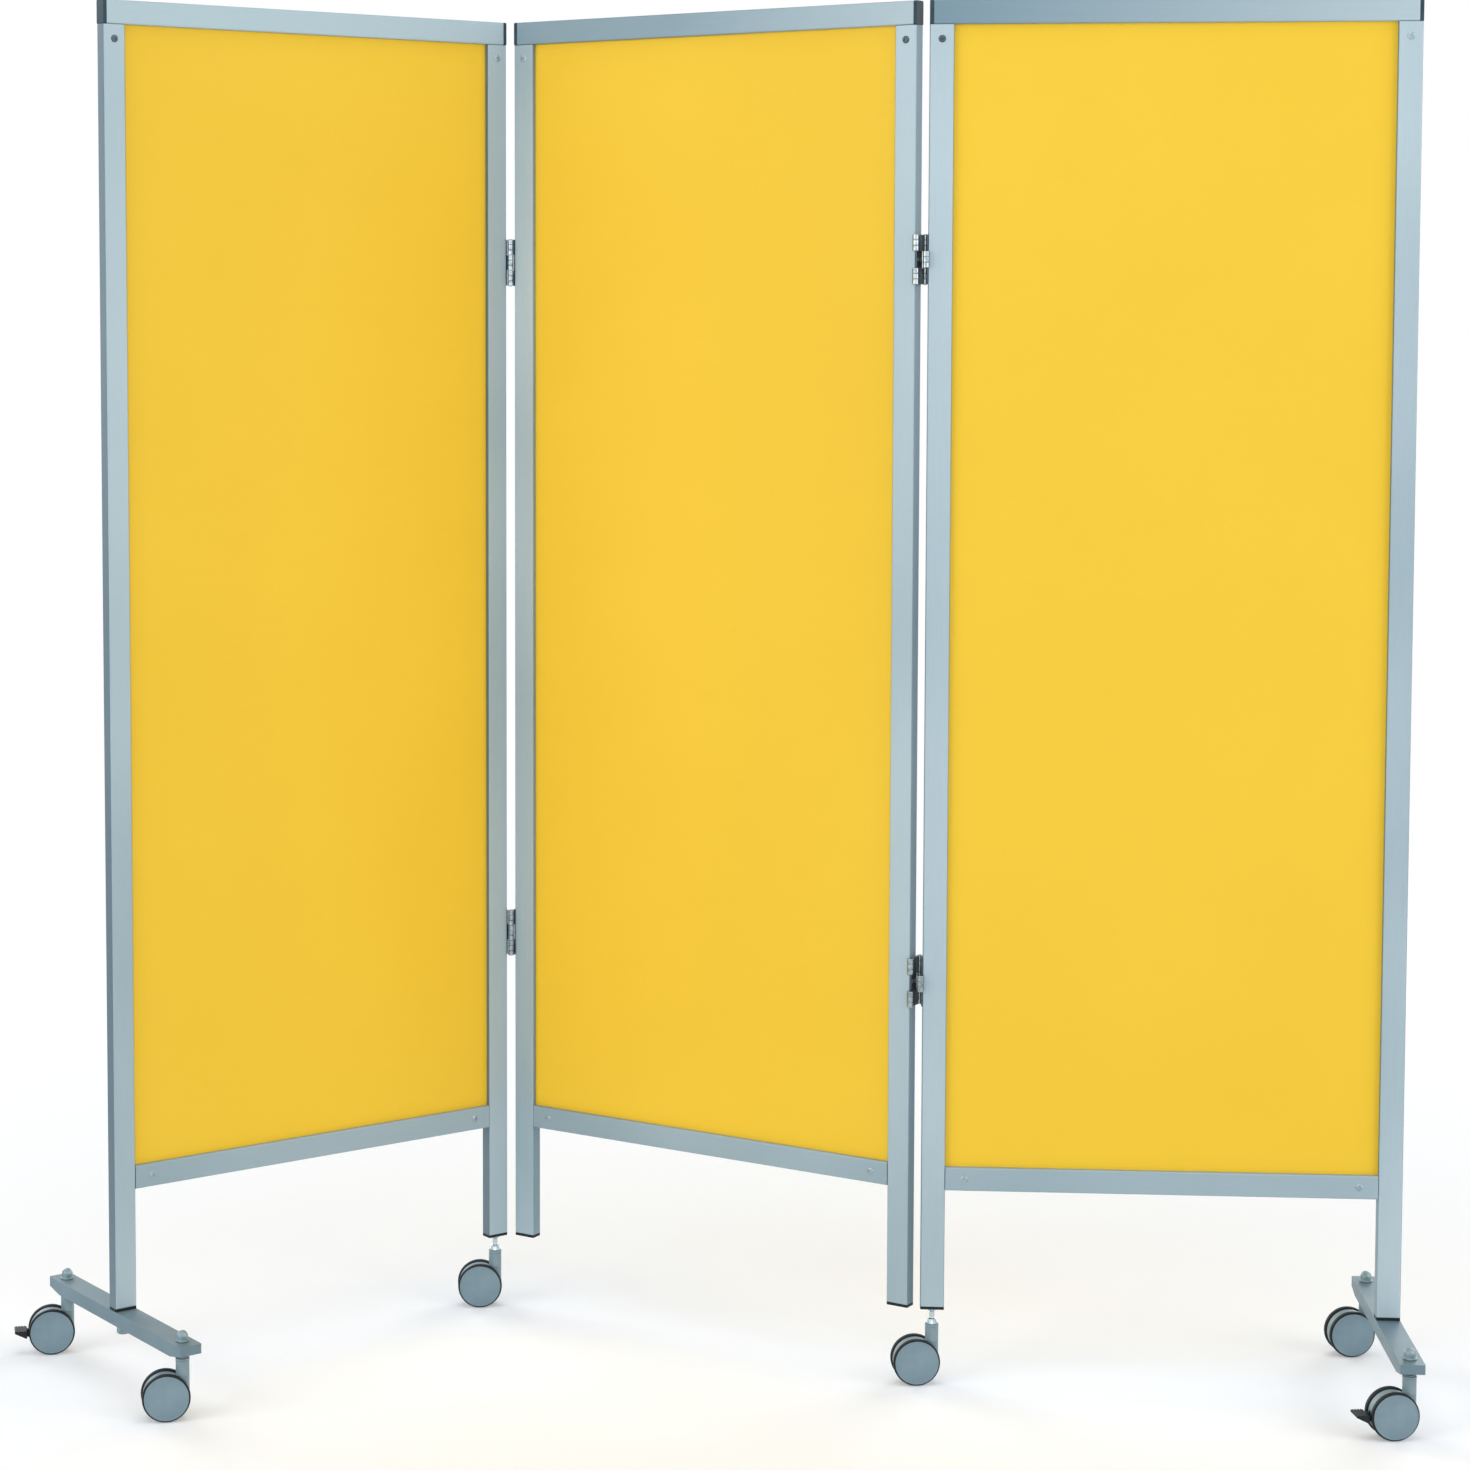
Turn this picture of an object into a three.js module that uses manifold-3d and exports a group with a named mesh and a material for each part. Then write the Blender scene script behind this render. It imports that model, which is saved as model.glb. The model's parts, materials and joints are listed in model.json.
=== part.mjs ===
// Folding ward privacy screen: three framed panels, two cross feet, six twin-wheel castors.
// Millimetres, +Z up. Each panel is drawn in a frame of its own, with x along the panel from
// its left end, y from its front face to its back, z from the floor, and is then turned into place.
import * as THREE from 'three';
import { mergeVertices } from 'three/addons/utils/BufferGeometryUtils.js';
import Module from 'manifold-3d';

const wasm = await Module();
wasm.setup();

// Room between two pieces that touch on the real screen
const fitGap = 0.3;

// Frame of a panel
const panelWidth = 600;
const frameHeight = 1650;
const frameClearance = 97;
const tubeFace = 30;
const tubeDepth = 18;
const tubeWall = 1.6;
const tubeCorner = 2;
const lowerRailHeight = 154;

// Infill board, held in grooves of the posts and rails
const boardThickness = 5;
const boardInsert = 4;

// End caps of the top rail and plugs of the posts
const capFlange = 4.5;
const capInsertShare = 0.7;
const plugFlange = 3.5;
const plugInsert = 14;

// How far the panels are folded from flat, and how the middle one stands, in degrees
const leftFoldAngle = 68;
const rightFoldAngle = 28.5;
const middleAngle = -33.5;

// Hinges: the barrels stand clear in front of the posts and behind them
const hingeGap = 6;
const hingeFromTop = 320;
const hingeFromFoot = 420;
const hingeHeight = 62;
const barrelRadius = 4.2;
const hingePinRadius = 2;
const leafThickness = 1.4;
const leafEdge = 1.5;
const strapPastMiddle = 1;
const pinHead = 0.8;
const knucklesPerHinge = 3;

// Cross feet, open below between their bosses
const footStemSpread = 315;
const footEndPastStem = 22.5;
const footHeight = 18;
const footCorner = 2;
const footTopWall = 4;
const footSideWall = 3;
const footBossLength = 18;
const footTaper = 28;
const footRise = 6;

// Bolt that holds a foot to its post
const boltRadius = 4;
const boltHeadRadius = 7.5;
const boltHeadHeight = 11;
const boltCollarRadius = 8.5;
const boltCollarHeight = 2;

// Castor stems and their domed nuts
const stemRadius = 4;
const stemCollarRadius = 7;
const stemCollarHeight = 1.5;
const stemSleeveRadius = 6;
const stemSleeveHeight = 6;
const stemFlareRadius = 7;
const stemFlareHeight = 2;
const stemInNeck = 14;
const stemAbovePlug = 3;
const nutRadius = 7;
const nutFlangeRadius = 8.2;
const nutFlangeHeight = 1.8;
const nutSideHeight = 5;

// Castor wheels and hood
const wheelRadius = 30;
const wheelWidth = 8;
const treadEdge = 1.8;
const coverRadius = 27.4;
const coverStep = 0.6;
const axleRadius = 3;
const trail = 21;
const hoodWidth = 14;
const hoodRadius = 28;
const hoodSkirt = 15;
const neckRadius = 8.5;
const neckAboveWheel = 1.2;
const neckFoot = 8;
const wheelGap = 0.5;

// Brake pedal, between the wheels on the trailing side
const pedalArm = 6;
const pedalWidth = 24;
const pedalPivotBack = 15;
const pedalPivotDrop = 2;
const pedalHubRadius = 4.2;
const pedalPinRadius = 1.8;
const pedalPinShare = 0.6;
const pedalTop = 3;
const pedalDepth = 11;
const pedalTipThickness = 3;
const pedalReach = 18;
const pedalPadStart = 2;
const pedalPocketTop = 7;
const pedalPocketDrop = 13;

// Smoothness of round shapes
const wheelSegments = 30;
const roundSegments = 16;
const smallSegments = 12;
const cornerSegments = 2;
const domeSegments = 4;

const colours = {
  frame: { color: 0xa9bdc7, roughness: 0.42, metalness: 0.25 },
  board: { color: 0xf3c93f, roughness: 0.55, metalness: 0 },
  cap: { color: 0x5f757f, roughness: 0.5, metalness: 0 },
  black: { color: 0x14181b, roughness: 0.6, metalness: 0 },
  steel: { color: 0xd2dcdf, roughness: 0.18, metalness: 1 },
  foot: { color: 0x728c96, roughness: 0.45, metalness: 0.2 },
  hood: { color: 0x7b939b, roughness: 0.5, metalness: 0 },
};

const root = new THREE.Group();
root.name = 'ward_screen';

// Levels and places worked out from the sizes above
const frameTop = frameClearance + frameHeight;
const railUnderside = frameTop - tubeFace;
const lowerRailBottom = frameClearance + lowerRailHeight;
const lowerRailTop = lowerRailBottom + tubeFace;
const postBottom = frameClearance + plugFlange + fitGap;
const postTop = railUnderside - fitGap;
const postMiddle = tubeFace / 2;
const depthMiddle = tubeDepth / 2;
const grooveWidth = boardThickness + fitGap * 2;
const boardBottom = lowerRailTop - boardInsert;
const boardTop = railUnderside + boardInsert;
const boardLeft = tubeFace - boardInsert;
const footTop = frameClearance - fitGap;
const footUnderside = footTop - footHeight;
const footLength = footStemSpread + footEndPastStem * 2;
const neckTop = footUnderside - fitGap * 2 - stemCollarHeight;
const hingeLevels = [frameTop - hingeFromTop, frameClearance + hingeFromFoot];
const frontAxis = -barrelRadius - fitGap;
const backAxis = tubeDepth + barrelRadius + fitGap;

// Turns a three.js geometry into a solid that can be joined and cut
function solidOf(geometry) {
  const plain = geometry.clone();
  plain.deleteAttribute('normal');
  plain.deleteAttribute('uv');
  const merged = mergeVertices(plain, 1e-4);
  const mesh = new wasm.Mesh({
    numProp: 3,
    vertProperties: new Float32Array(merged.attributes.position.array),
    triVerts: new Uint32Array(merged.index.array),
  });
  return new wasm.Manifold(mesh);
}

function geometryOf(solid) {
  const mesh = solid.getMesh();
  const geometry = new THREE.BufferGeometry();
  geometry.setAttribute('position', new THREE.BufferAttribute(new Float32Array(mesh.vertProperties), 3));
  geometry.setIndex(new THREE.BufferAttribute(new Uint32Array(mesh.triVerts), 1));
  geometry.computeVertexNormals();
  return geometry;
}

function joined(parts) {
  return parts.slice(1).reduce((sum, part) => sum.add(part), parts[0]);
}

function cut(body, tools) {
  return tools.reduce((left, tool) => left.subtract(tool), body);
}

// A box from its low corner to its high corner
function box(low, high) {
  const size = high.map((value, i) => value - low[i]);
  const geometry = new THREE.BoxGeometry(size[0], size[1], size[2]);
  geometry.translate(low[0] + size[0] / 2, low[1] + size[1] / 2, low[2] + size[2] / 2);
  return solidOf(geometry);
}

// An upright cylinder, from z = bottom to z = top
function upright(radius, x, y, bottom, top, segments = smallSegments) {
  const geometry = new THREE.CylinderGeometry(radius, radius, top - bottom, segments);
  geometry.rotateX(Math.PI / 2);
  geometry.translate(x, y, (bottom + top) / 2);
  return solidOf(geometry);
}

// A cylinder along y, centred on y = 0
function crosswise(radius, x, z, length, segments = smallSegments) {
  const geometry = new THREE.CylinderGeometry(radius, radius, length, segments);
  geometry.translate(x, 0, z);
  return solidOf(geometry);
}

function roundedRectangle(target, low, high, radius) {
  target.moveTo(low[0] + radius, low[1]);
  target.lineTo(high[0] - radius, low[1]);
  target.absarc(high[0] - radius, low[1] + radius, radius, -Math.PI / 2, 0, false);
  target.lineTo(high[0], high[1] - radius);
  target.absarc(high[0] - radius, high[1] - radius, radius, 0, Math.PI / 2, false);
  target.lineTo(low[0] + radius, high[1]);
  target.absarc(low[0] + radius, high[1] - radius, radius, Math.PI / 2, Math.PI, false);
  target.lineTo(low[0], low[1] + radius);
  target.absarc(low[0] + radius, low[1] + radius, radius, Math.PI, Math.PI * 1.5, false);
  return target;
}

// The section of the frame tube, pulled in by inset on every side
function sectionShape(inset) {
  const radius = Math.max(tubeCorner - inset, tubeCorner * 0.2);
  return roundedRectangle(new THREE.Shape(), [inset, inset], [tubeFace - inset, tubeDepth - inset], radius);
}

function extruded(shape, bottom, top) {
  const geometry = new THREE.ExtrudeGeometry(shape, {
    depth: top - bottom,
    bevelEnabled: false,
    curveSegments: cornerSegments,
  });
  geometry.translate(0, 0, bottom);
  return geometry;
}

// A length of frame tube standing on z = bottom
function tube(bottom, top) {
  const shape = sectionShape(0);
  const bore = sectionShape(tubeWall);
  shape.holes.push(new THREE.Path(bore.getPoints(cornerSegments).reverse()));
  return extruded(shape, bottom, top);
}

// Lays an upright length down along x, with its face to the front and its lower side at level
function laidAlongX(geometry, level) {
  geometry.rotateY(Math.PI / 2);
  geometry.translate(0, 0, level + tubeFace);
  return geometry;
}

function mirroredAcrossPanel(geometry) {
  geometry.scale(-1, 1, 1);
  geometry.translate(panelWidth, 0, 0);
  const index = geometry.index.array;
  for (let i = 0; i < index.length; i += 3) {
    [index[i], index[i + 1]] = [index[i + 1], index[i]];
  }
  return geometry;
}

// Where each panel stands. Each fold turns about a line of hinge barrels.
function panelPlace(heading, ownPoint, worldPoint) {
  const turn = new THREE.Matrix4().makeRotationZ(THREE.MathUtils.degToRad(heading));
  const moved = new THREE.Vector3(ownPoint[0], ownPoint[1], 0).applyMatrix4(turn);
  const shift = new THREE.Matrix4().makeTranslation(worldPoint.x - moved.x, worldPoint.y - moved.y, 0);
  return shift.multiply(turn);
}

const farAxis = panelWidth + hingeGap / 2;
const nearAxis = -hingeGap / 2;
const middlePlace = new THREE.Matrix4().makeRotationZ(THREE.MathUtils.degToRad(middleAngle));
const leftPivot = new THREE.Vector3(nearAxis, frontAxis, 0).applyMatrix4(middlePlace);
const rightPivot = new THREE.Vector3(farAxis, backAxis, 0).applyMatrix4(middlePlace);
const leftPlace = panelPlace(middleAngle + leftFoldAngle, [farAxis, frontAxis], leftPivot);
const rightPlace = panelPlace(middleAngle + rightFoldAngle, [nearAxis, backAxis], rightPivot);

function addNode(name, look, geometry, place) {
  const placed = geometry.clone();
  placed.applyMatrix4(place);
  const material = new THREE.MeshStandardMaterial(colours[look]);
  material.name = look;
  const mesh = new THREE.Mesh(placed, material);
  mesh.name = name;
  root.add(mesh);
}

// Posts, drawn as the left one of a panel; the groove for the board opens on the inner side
function postGeometry() {
  const groove = box(
    [tubeFace - tubeWall - fitGap, depthMiddle - grooveWidth / 2, boardBottom - fitGap],
    [tubeFace + fitGap, depthMiddle + grooveWidth / 2, postTop + fitGap],
  );
  return geometryOf(cut(solidOf(tube(postBottom, postTop)), [groove]));
}

function topRailGeometry() {
  const end = capFlange + fitGap;
  const rail = laidAlongX(tube(end, panelWidth - end), railUnderside);
  const groove = box(
    [boardLeft - fitGap, depthMiddle - grooveWidth / 2, railUnderside - fitGap],
    [panelWidth - boardLeft + fitGap, depthMiddle + grooveWidth / 2, railUnderside + tubeWall + fitGap],
  );
  return geometryOf(cut(solidOf(rail), [groove]));
}

function lowerRailGeometry() {
  const end = tubeFace + fitGap;
  const rail = laidAlongX(tube(end, panelWidth - end), lowerRailBottom);
  const groove = box(
    [tubeFace, depthMiddle - grooveWidth / 2, lowerRailTop - tubeWall - fitGap],
    [panelWidth - tubeFace, depthMiddle + grooveWidth / 2, lowerRailTop + fitGap],
  );
  return geometryOf(cut(solidOf(rail), [groove]));
}

function boardGeometry() {
  return geometryOf(box(
    [boardLeft, depthMiddle - boardThickness / 2, boardBottom],
    [panelWidth - boardLeft, depthMiddle + boardThickness / 2, boardTop],
  ));
}

// The cap at the left end of a top rail: a flange, and a block inside the tube
function capGeometry() {
  const insert = (boardLeft - capFlange) * capInsertShare;
  const flange = laidAlongX(extruded(sectionShape(0), 0, capFlange), railUnderside);
  const block = laidAlongX(
    extruded(sectionShape(tubeWall + fitGap), capFlange / 2, capFlange + insert),
    railUnderside,
  );
  return geometryOf(joined([solidOf(flange), solidOf(block)]));
}

// The plug under the left post of a panel, with a bore where a bolt or stem goes up through it
function plugGeometry(bored) {
  const top = postBottom + plugInsert;
  const flange = solidOf(extruded(sectionShape(0), frameClearance, frameClearance + plugFlange));
  const block = solidOf(extruded(sectionShape(tubeWall + fitGap), frameClearance + plugFlange / 2, top));
  const plug = joined([flange, block]);
  const bore = upright(boltRadius + fitGap, postMiddle, depthMiddle, frameClearance - fitGap, top + fitGap);
  return geometryOf(bored ? cut(plug, [bore]) : plug);
}

// A round piece turned about the z axis, from [radius, height] pairs that start and end at radius 0
function turned(profile, x, y, segments = roundSegments) {
  const points = profile.map(([radius, height]) => new THREE.Vector2(radius, height));
  const geometry = new THREE.LatheGeometry(points, segments);
  geometry.rotateX(Math.PI / 2);
  geometry.translate(x, y, 0);
  return solidOf(geometry);
}

// One leaf on the right-hand side of a post, at x = 0. The outer kind has the top and bottom
// knuckles, bored for the pin; the inner kind has the middle one, with the pin.
function leafSolid(kind, level, axisY) {
  const middle = hingeGap / 2;
  const bottom = level - hingeHeight / 2;
  const top = level + hingeHeight / 2;
  const knuckle = (hingeHeight - fitGap * (knucklesPerHinge - 1)) / knucklesPerHinge;
  const plate = box([fitGap, leafEdge, bottom], [fitGap + leafThickness, tubeDepth - leafEdge, top]);
  const parts = [plate];
  for (let i = 0; i < knucklesPerHinge; i += 1) {
    const wanted = kind === 'outer' ? i % 2 === 0 : i % 2 === 1;
    const low = bottom + (knuckle + fitGap) * i;
    if (wanted) {
      parts.push(box([fitGap, frontAxis, low], [middle + strapPastMiddle, backAxis, low + knuckle]));
      parts.push(upright(barrelRadius, middle, frontAxis, low, low + knuckle, roundSegments));
      parts.push(upright(barrelRadius, middle, backAxis, low, low + knuckle, roundSegments));
    }
  }
  if (kind === 'inner') {
    const pinTop = top + pinHead;
    const pinBottom = bottom - pinHead;
    return joined([...parts, upright(hingePinRadius, middle, axisY, pinBottom, pinTop)]);
  }
  const bore = upright(hingePinRadius + fitGap, middle, axisY, bottom - fitGap, top + fitGap);
  return cut(joined(parts), [bore]);
}

// The leaf on a panel's right-hand side, or on its left-hand side as a mirror image
function leafGeometry(kind, level, axisY, side) {
  const geometry = geometryOf(leafSolid(kind, level, axisY));
  geometry.translate(panelWidth, 0, 0);
  return side === 'right' ? geometry : mirroredAcrossPanel(geometry);
}

// Cross foot under a post, drawn along y with its middle at the post's middle
function footGeometry() {
  const half = footLength / 2;
  const side = new THREE.Shape([
    new THREE.Vector2(-half, footTop),
    new THREE.Vector2(-half, footUnderside + footRise),
    new THREE.Vector2(footTaper - half, footUnderside),
    new THREE.Vector2(half - footTaper, footUnderside),
    new THREE.Vector2(half, footUnderside + footRise),
    new THREE.Vector2(half, footTop),
  ]);
  const bar = new THREE.ExtrudeGeometry(side, { depth: tubeFace, bevelEnabled: false });
  bar.rotateX(Math.PI / 2);
  bar.rotateZ(Math.PI / 2);
  bar.translate(0, depthMiddle, 0);
  const outline = roundedRectangle(
    new THREE.Shape(), [0, depthMiddle - half], [tubeFace, depthMiddle + half], footCorner,
  );
  const block = extruded(outline, footUnderside - fitGap, footTop + fitGap);
  const body = solidOf(bar).intersect(solidOf(block));
  const tools = [];
  for (const place of [-footStemSpread / 2, 0, footStemSpread / 2]) {
    tools.push(upright(
      stemRadius + fitGap, postMiddle, depthMiddle + place, footUnderside - fitGap, footTop + fitGap,
    ));
  }
  for (const place of [-footStemSpread / 4, footStemSpread / 4]) {
    const reach = footStemSpread / 4 - footBossLength / 2;
    tools.push(box(
      [footSideWall, depthMiddle + place - reach, footUnderside - fitGap],
      [tubeFace - footSideWall, depthMiddle + place + reach, footTop - footTopWall],
    ));
  }
  return geometryOf(cut(body, tools));
}

function footBoltGeometry() {
  const collarTop = footUnderside - fitGap;
  const collarBottom = collarTop - boltCollarHeight;
  const headBottom = collarBottom - boltHeadHeight;
  return geometryOf(turned([
    [0, headBottom],
    [boltHeadRadius, headBottom],
    [boltHeadRadius, collarBottom],
    [boltCollarRadius, collarBottom],
    [boltCollarRadius, collarTop],
    [boltRadius, collarTop],
    [boltRadius, postBottom + plugInsert],
    [0, postBottom + plugInsert],
  ], postMiddle, depthMiddle));
}

// Stem of a foot castor, with its washer below the foot and its domed nut on top
function footStemSolid() {
  const collarTop = footUnderside - fitGap;
  const flangeBottom = footTop + fitGap;
  const sideTop = flangeBottom + nutFlangeHeight + nutSideHeight;
  const dome = [];
  for (let i = 0; i <= domeSegments; i += 1) {
    const angle = (Math.PI / 2) * (i / domeSegments);
    const radius = i === domeSegments ? 0 : nutRadius * Math.cos(angle);
    dome.push([radius, sideTop + nutRadius * Math.sin(angle)]);
  }
  return turned([
    [0, neckTop - stemInNeck],
    [stemRadius, neckTop - stemInNeck],
    [stemRadius, neckTop + fitGap],
    [stemCollarRadius, neckTop + fitGap],
    [stemCollarRadius, collarTop],
    [stemRadius, collarTop],
    [stemRadius, flangeBottom],
    [nutFlangeRadius, flangeBottom],
    [nutFlangeRadius, flangeBottom + nutFlangeHeight],
    [nutRadius, flangeBottom + nutFlangeHeight],
    ...dome,
  ], 0, 0);
}

// Stem of a castor beside a hinge: bare between the castor and the plug, and up inside the post
function postStemSolid() {
  const flareTop = frameClearance - fitGap;
  return turned([
    [0, neckTop - stemInNeck],
    [stemRadius, neckTop - stemInNeck],
    [stemRadius, neckTop + fitGap],
    [stemSleeveRadius, neckTop + fitGap],
    [stemSleeveRadius, neckTop + fitGap + stemSleeveHeight],
    [stemRadius, neckTop + fitGap + stemSleeveHeight],
    [stemRadius, flareTop - stemFlareHeight],
    [stemFlareRadius, flareTop],
    [stemRadius, flareTop],
    [stemRadius, postBottom + plugInsert + stemAbovePlug],
    [0, postBottom + plugInsert + stemAbovePlug],
  ], 0, 0);
}

// The castor is drawn with its stem on the z axis and its wheels trailing towards -x
const pedalPivotX = -trail - pedalPivotBack;
const pedalPivotZ = wheelRadius - pedalPivotDrop;

function hoodSolid(braked) {
  const skirtLevel = wheelRadius - hoodSkirt;
  const neckBottom = wheelRadius * 2 + neckAboveWheel;
  const cheek = crosswise(hoodRadius, -trail, wheelRadius, hoodWidth, wheelSegments);
  const keep = box([-trail - wheelRadius, -hoodWidth, skirtLevel], [wheelRadius, hoodWidth, neckTop]);
  const column = upright(neckRadius, 0, 0, neckFoot + skirtLevel, neckTop, roundSegments);
  const between = box([-neckRadius, -hoodWidth / 2, skirtLevel], [neckRadius, hoodWidth / 2, neckTop]);
  const neck = upright(neckRadius, 0, 0, neckBottom, neckTop, roundSegments);
  const body = joined([cheek.intersect(keep), column.intersect(between), neck]);
  const tools = [
    upright(stemRadius + fitGap, 0, 0, neckTop - stemInNeck - fitGap, neckTop + fitGap),
    crosswise(axleRadius + fitGap, -trail, wheelRadius, hoodWidth * 2),
  ];
  if (braked) {
    const room = pedalHubRadius + fitGap * 2;
    tools.push(box(
      [-trail - wheelRadius, -pedalArm / 2 - fitGap, pedalPivotZ - pedalPocketDrop],
      [pedalPivotX + room, pedalArm / 2 + fitGap, pedalPivotZ + pedalPocketTop],
    ));
    tools.push(crosswise(pedalPinRadius + fitGap, pedalPivotX, pedalPivotZ, hoodWidth * 2));
  }
  return cut(body, tools);
}

// Two wheels on one axle through the hood
function wheelPairSolid() {
  const inner = hoodWidth / 2 + wheelGap;
  const outer = inner + wheelWidth;
  const half = [
    [axleRadius, inner],
    [wheelRadius - treadEdge, inner],
    [wheelRadius, inner + treadEdge],
    [wheelRadius, outer - treadEdge],
    [wheelRadius - treadEdge, outer],
    [coverRadius, outer],
    [coverRadius - coverStep, outer + coverStep],
    [0, outer + coverStep],
  ];
  const mirrored = half.map(([radius, height]) => [radius, -height]).reverse();
  const solid = turned([...mirrored, ...half], 0, 0, wheelSegments);
  const geometry = geometryOf(solid);
  geometry.rotateX(-Math.PI / 2);
  geometry.translate(-trail, 0, wheelRadius);
  return solidOf(geometry);
}

// Pedal: a hub on a cross pin, an arm out past the wheels, and a wide pad for the toe
function pedalSolid() {
  const rim = -trail - wheelRadius;
  const padStart = rim - pedalPadStart;
  const tip = rim - pedalReach;
  const top = wheelRadius + pedalTop;
  const arm = new THREE.Shape([
    new THREE.Vector2(pedalPivotX, pedalPivotZ - pedalHubRadius),
    new THREE.Vector2(pedalPivotX, pedalPivotZ + pedalHubRadius),
    new THREE.Vector2(rim, top),
    new THREE.Vector2(padStart - fitGap, top),
    new THREE.Vector2(padStart - fitGap, top - pedalDepth),
    new THREE.Vector2(rim, top - pedalDepth),
  ]);
  const pad = new THREE.Shape([
    new THREE.Vector2(padStart, top - pedalDepth),
    new THREE.Vector2(padStart, top),
    new THREE.Vector2(tip, top),
    new THREE.Vector2(tip, top - pedalTipThickness),
  ]);
  const armBody = new THREE.ExtrudeGeometry(arm, { depth: pedalArm, bevelEnabled: false });
  armBody.translate(0, 0, -pedalArm / 2);
  armBody.rotateX(Math.PI / 2);
  const padBody = new THREE.ExtrudeGeometry(pad, { depth: pedalWidth, bevelEnabled: false });
  padBody.translate(0, 0, -pedalWidth / 2);
  padBody.rotateX(Math.PI / 2);
  const pinLength = pedalArm + (hoodWidth - pedalArm) * pedalPinShare;
  return joined([
    solidOf(armBody),
    solidOf(padBody),
    crosswise(pedalHubRadius, pedalPivotX, pedalPivotZ, pedalArm),
    crosswise(pedalPinRadius, pedalPivotX, pedalPivotZ, pinLength),
  ]);
}

// Panels and their frames
const panels = [
  { name: 'left', place: leftPlace, boredLeft: true, boredRight: true },
  { name: 'middle', place: middlePlace, boredLeft: false, boredRight: false },
  { name: 'right', place: rightPlace, boredLeft: true, boredRight: true },
];

for (const { name, place, boredLeft, boredRight } of panels) {
  addNode(`${name}_panel_top_rail`, 'frame', topRailGeometry(), place);
  addNode(`${name}_panel_lower_rail`, 'frame', lowerRailGeometry(), place);
  addNode(`${name}_panel_board`, 'board', boardGeometry(), place);
  addNode(`${name}_panel_left_post`, 'frame', postGeometry(), place);
  addNode(`${name}_panel_right_post`, 'frame', mirroredAcrossPanel(postGeometry()), place);
  addNode(`${name}_panel_left_cap`, 'cap', capGeometry(), place);
  addNode(`${name}_panel_right_cap`, 'cap', mirroredAcrossPanel(capGeometry()), place);
  addNode(`${name}_panel_left_plug`, 'black', plugGeometry(boredLeft), place);
  addNode(`${name}_panel_right_plug`, 'black', mirroredAcrossPanel(plugGeometry(boredRight)), place);
}

// Hinges: the left pair folds about the front barrels, the right pair about the back ones
const joints = [
  { name: 'left', from: leftPlace, to: middlePlace, fromKind: 'inner', toKind: 'outer', axisY: frontAxis },
  { name: 'right', from: middlePlace, to: rightPlace, fromKind: 'outer', toKind: 'inner', axisY: backAxis },
];

for (const joint of joints) {
  hingeLevels.forEach((level, i) => {
    const label = `${joint.name}_${i === 0 ? 'upper' : 'lower'}_hinge`;
    addNode(`${label}_leaf_a`, 'steel', leafGeometry(joint.fromKind, level, joint.axisY, 'right'), joint.from);
    addNode(`${label}_leaf_b`, 'steel', leafGeometry(joint.toKind, level, joint.axisY, 'left'), joint.to);
  });
}

// Feet under the outer posts
addNode('left_foot_bar', 'foot', footGeometry(), leftPlace);
addNode('left_foot_bolt', 'steel', footBoltGeometry(), leftPlace);
addNode('right_foot_bar', 'foot', mirroredAcrossPanel(footGeometry()), rightPlace);
addNode('right_foot_bolt', 'steel', mirroredAcrossPanel(footBoltGeometry()), rightPlace);

// Castors: where each stem stands in its panel, and how far its wheels are turned, in degrees
const farPost = panelWidth - postMiddle;
const stemFront = depthMiddle - footStemSpread / 2;
const stemBack = depthMiddle + footStemSpread / 2;
const castors = [
  { name: 'left_front', place: leftPlace, x: postMiddle, y: stemFront, turn: 10, onFoot: true },
  { name: 'left_back', place: leftPlace, x: postMiddle, y: stemBack, turn: 10, onFoot: true, braked: true },
  { name: 'left_hinge', place: leftPlace, x: farPost, y: depthMiddle, turn: 2 },
  { name: 'right_hinge', place: rightPlace, x: postMiddle, y: depthMiddle, turn: 3 },
  { name: 'right_back', place: rightPlace, x: farPost, y: stemBack, turn: 4, onFoot: true },
  { name: 'right_front', place: rightPlace, x: farPost, y: stemFront, turn: 5, onFoot: true, braked: true },
];

for (const castor of castors) {
  const stand = new THREE.Vector3(castor.x, castor.y, 0).applyMatrix4(castor.place);
  const place = new THREE.Matrix4().makeTranslation(stand.x, stand.y, 0);
  place.multiply(new THREE.Matrix4().makeRotationZ(THREE.MathUtils.degToRad(castor.turn)));
  const stem = castor.onFoot ? footStemSolid() : postStemSolid();
  addNode(`${castor.name}_castor_stem`, 'steel', geometryOf(stem), place);
  addNode(`${castor.name}_castor_hood`, 'hood', geometryOf(hoodSolid(Boolean(castor.braked))), place);
  addNode(`${castor.name}_castor_wheels`, 'hood', geometryOf(wheelPairSolid()), place);
  if (castor.braked) {
    addNode(`${castor.name}_castor_pedal`, 'black', geometryOf(pedalSolid()), place);
  }
}

// The origin is on the floor, under the middle of the whole screen
const bounds = new THREE.Box3().setFromObject(root);
const centre = bounds.getCenter(new THREE.Vector3());
for (const mesh of root.children) {
  mesh.geometry.translate(-centre.x, -centre.y, -bounds.min.z);
}

export default root;
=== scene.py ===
import json
import math

import bmesh
import bpy
from mathutils import Matrix, Vector


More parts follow.
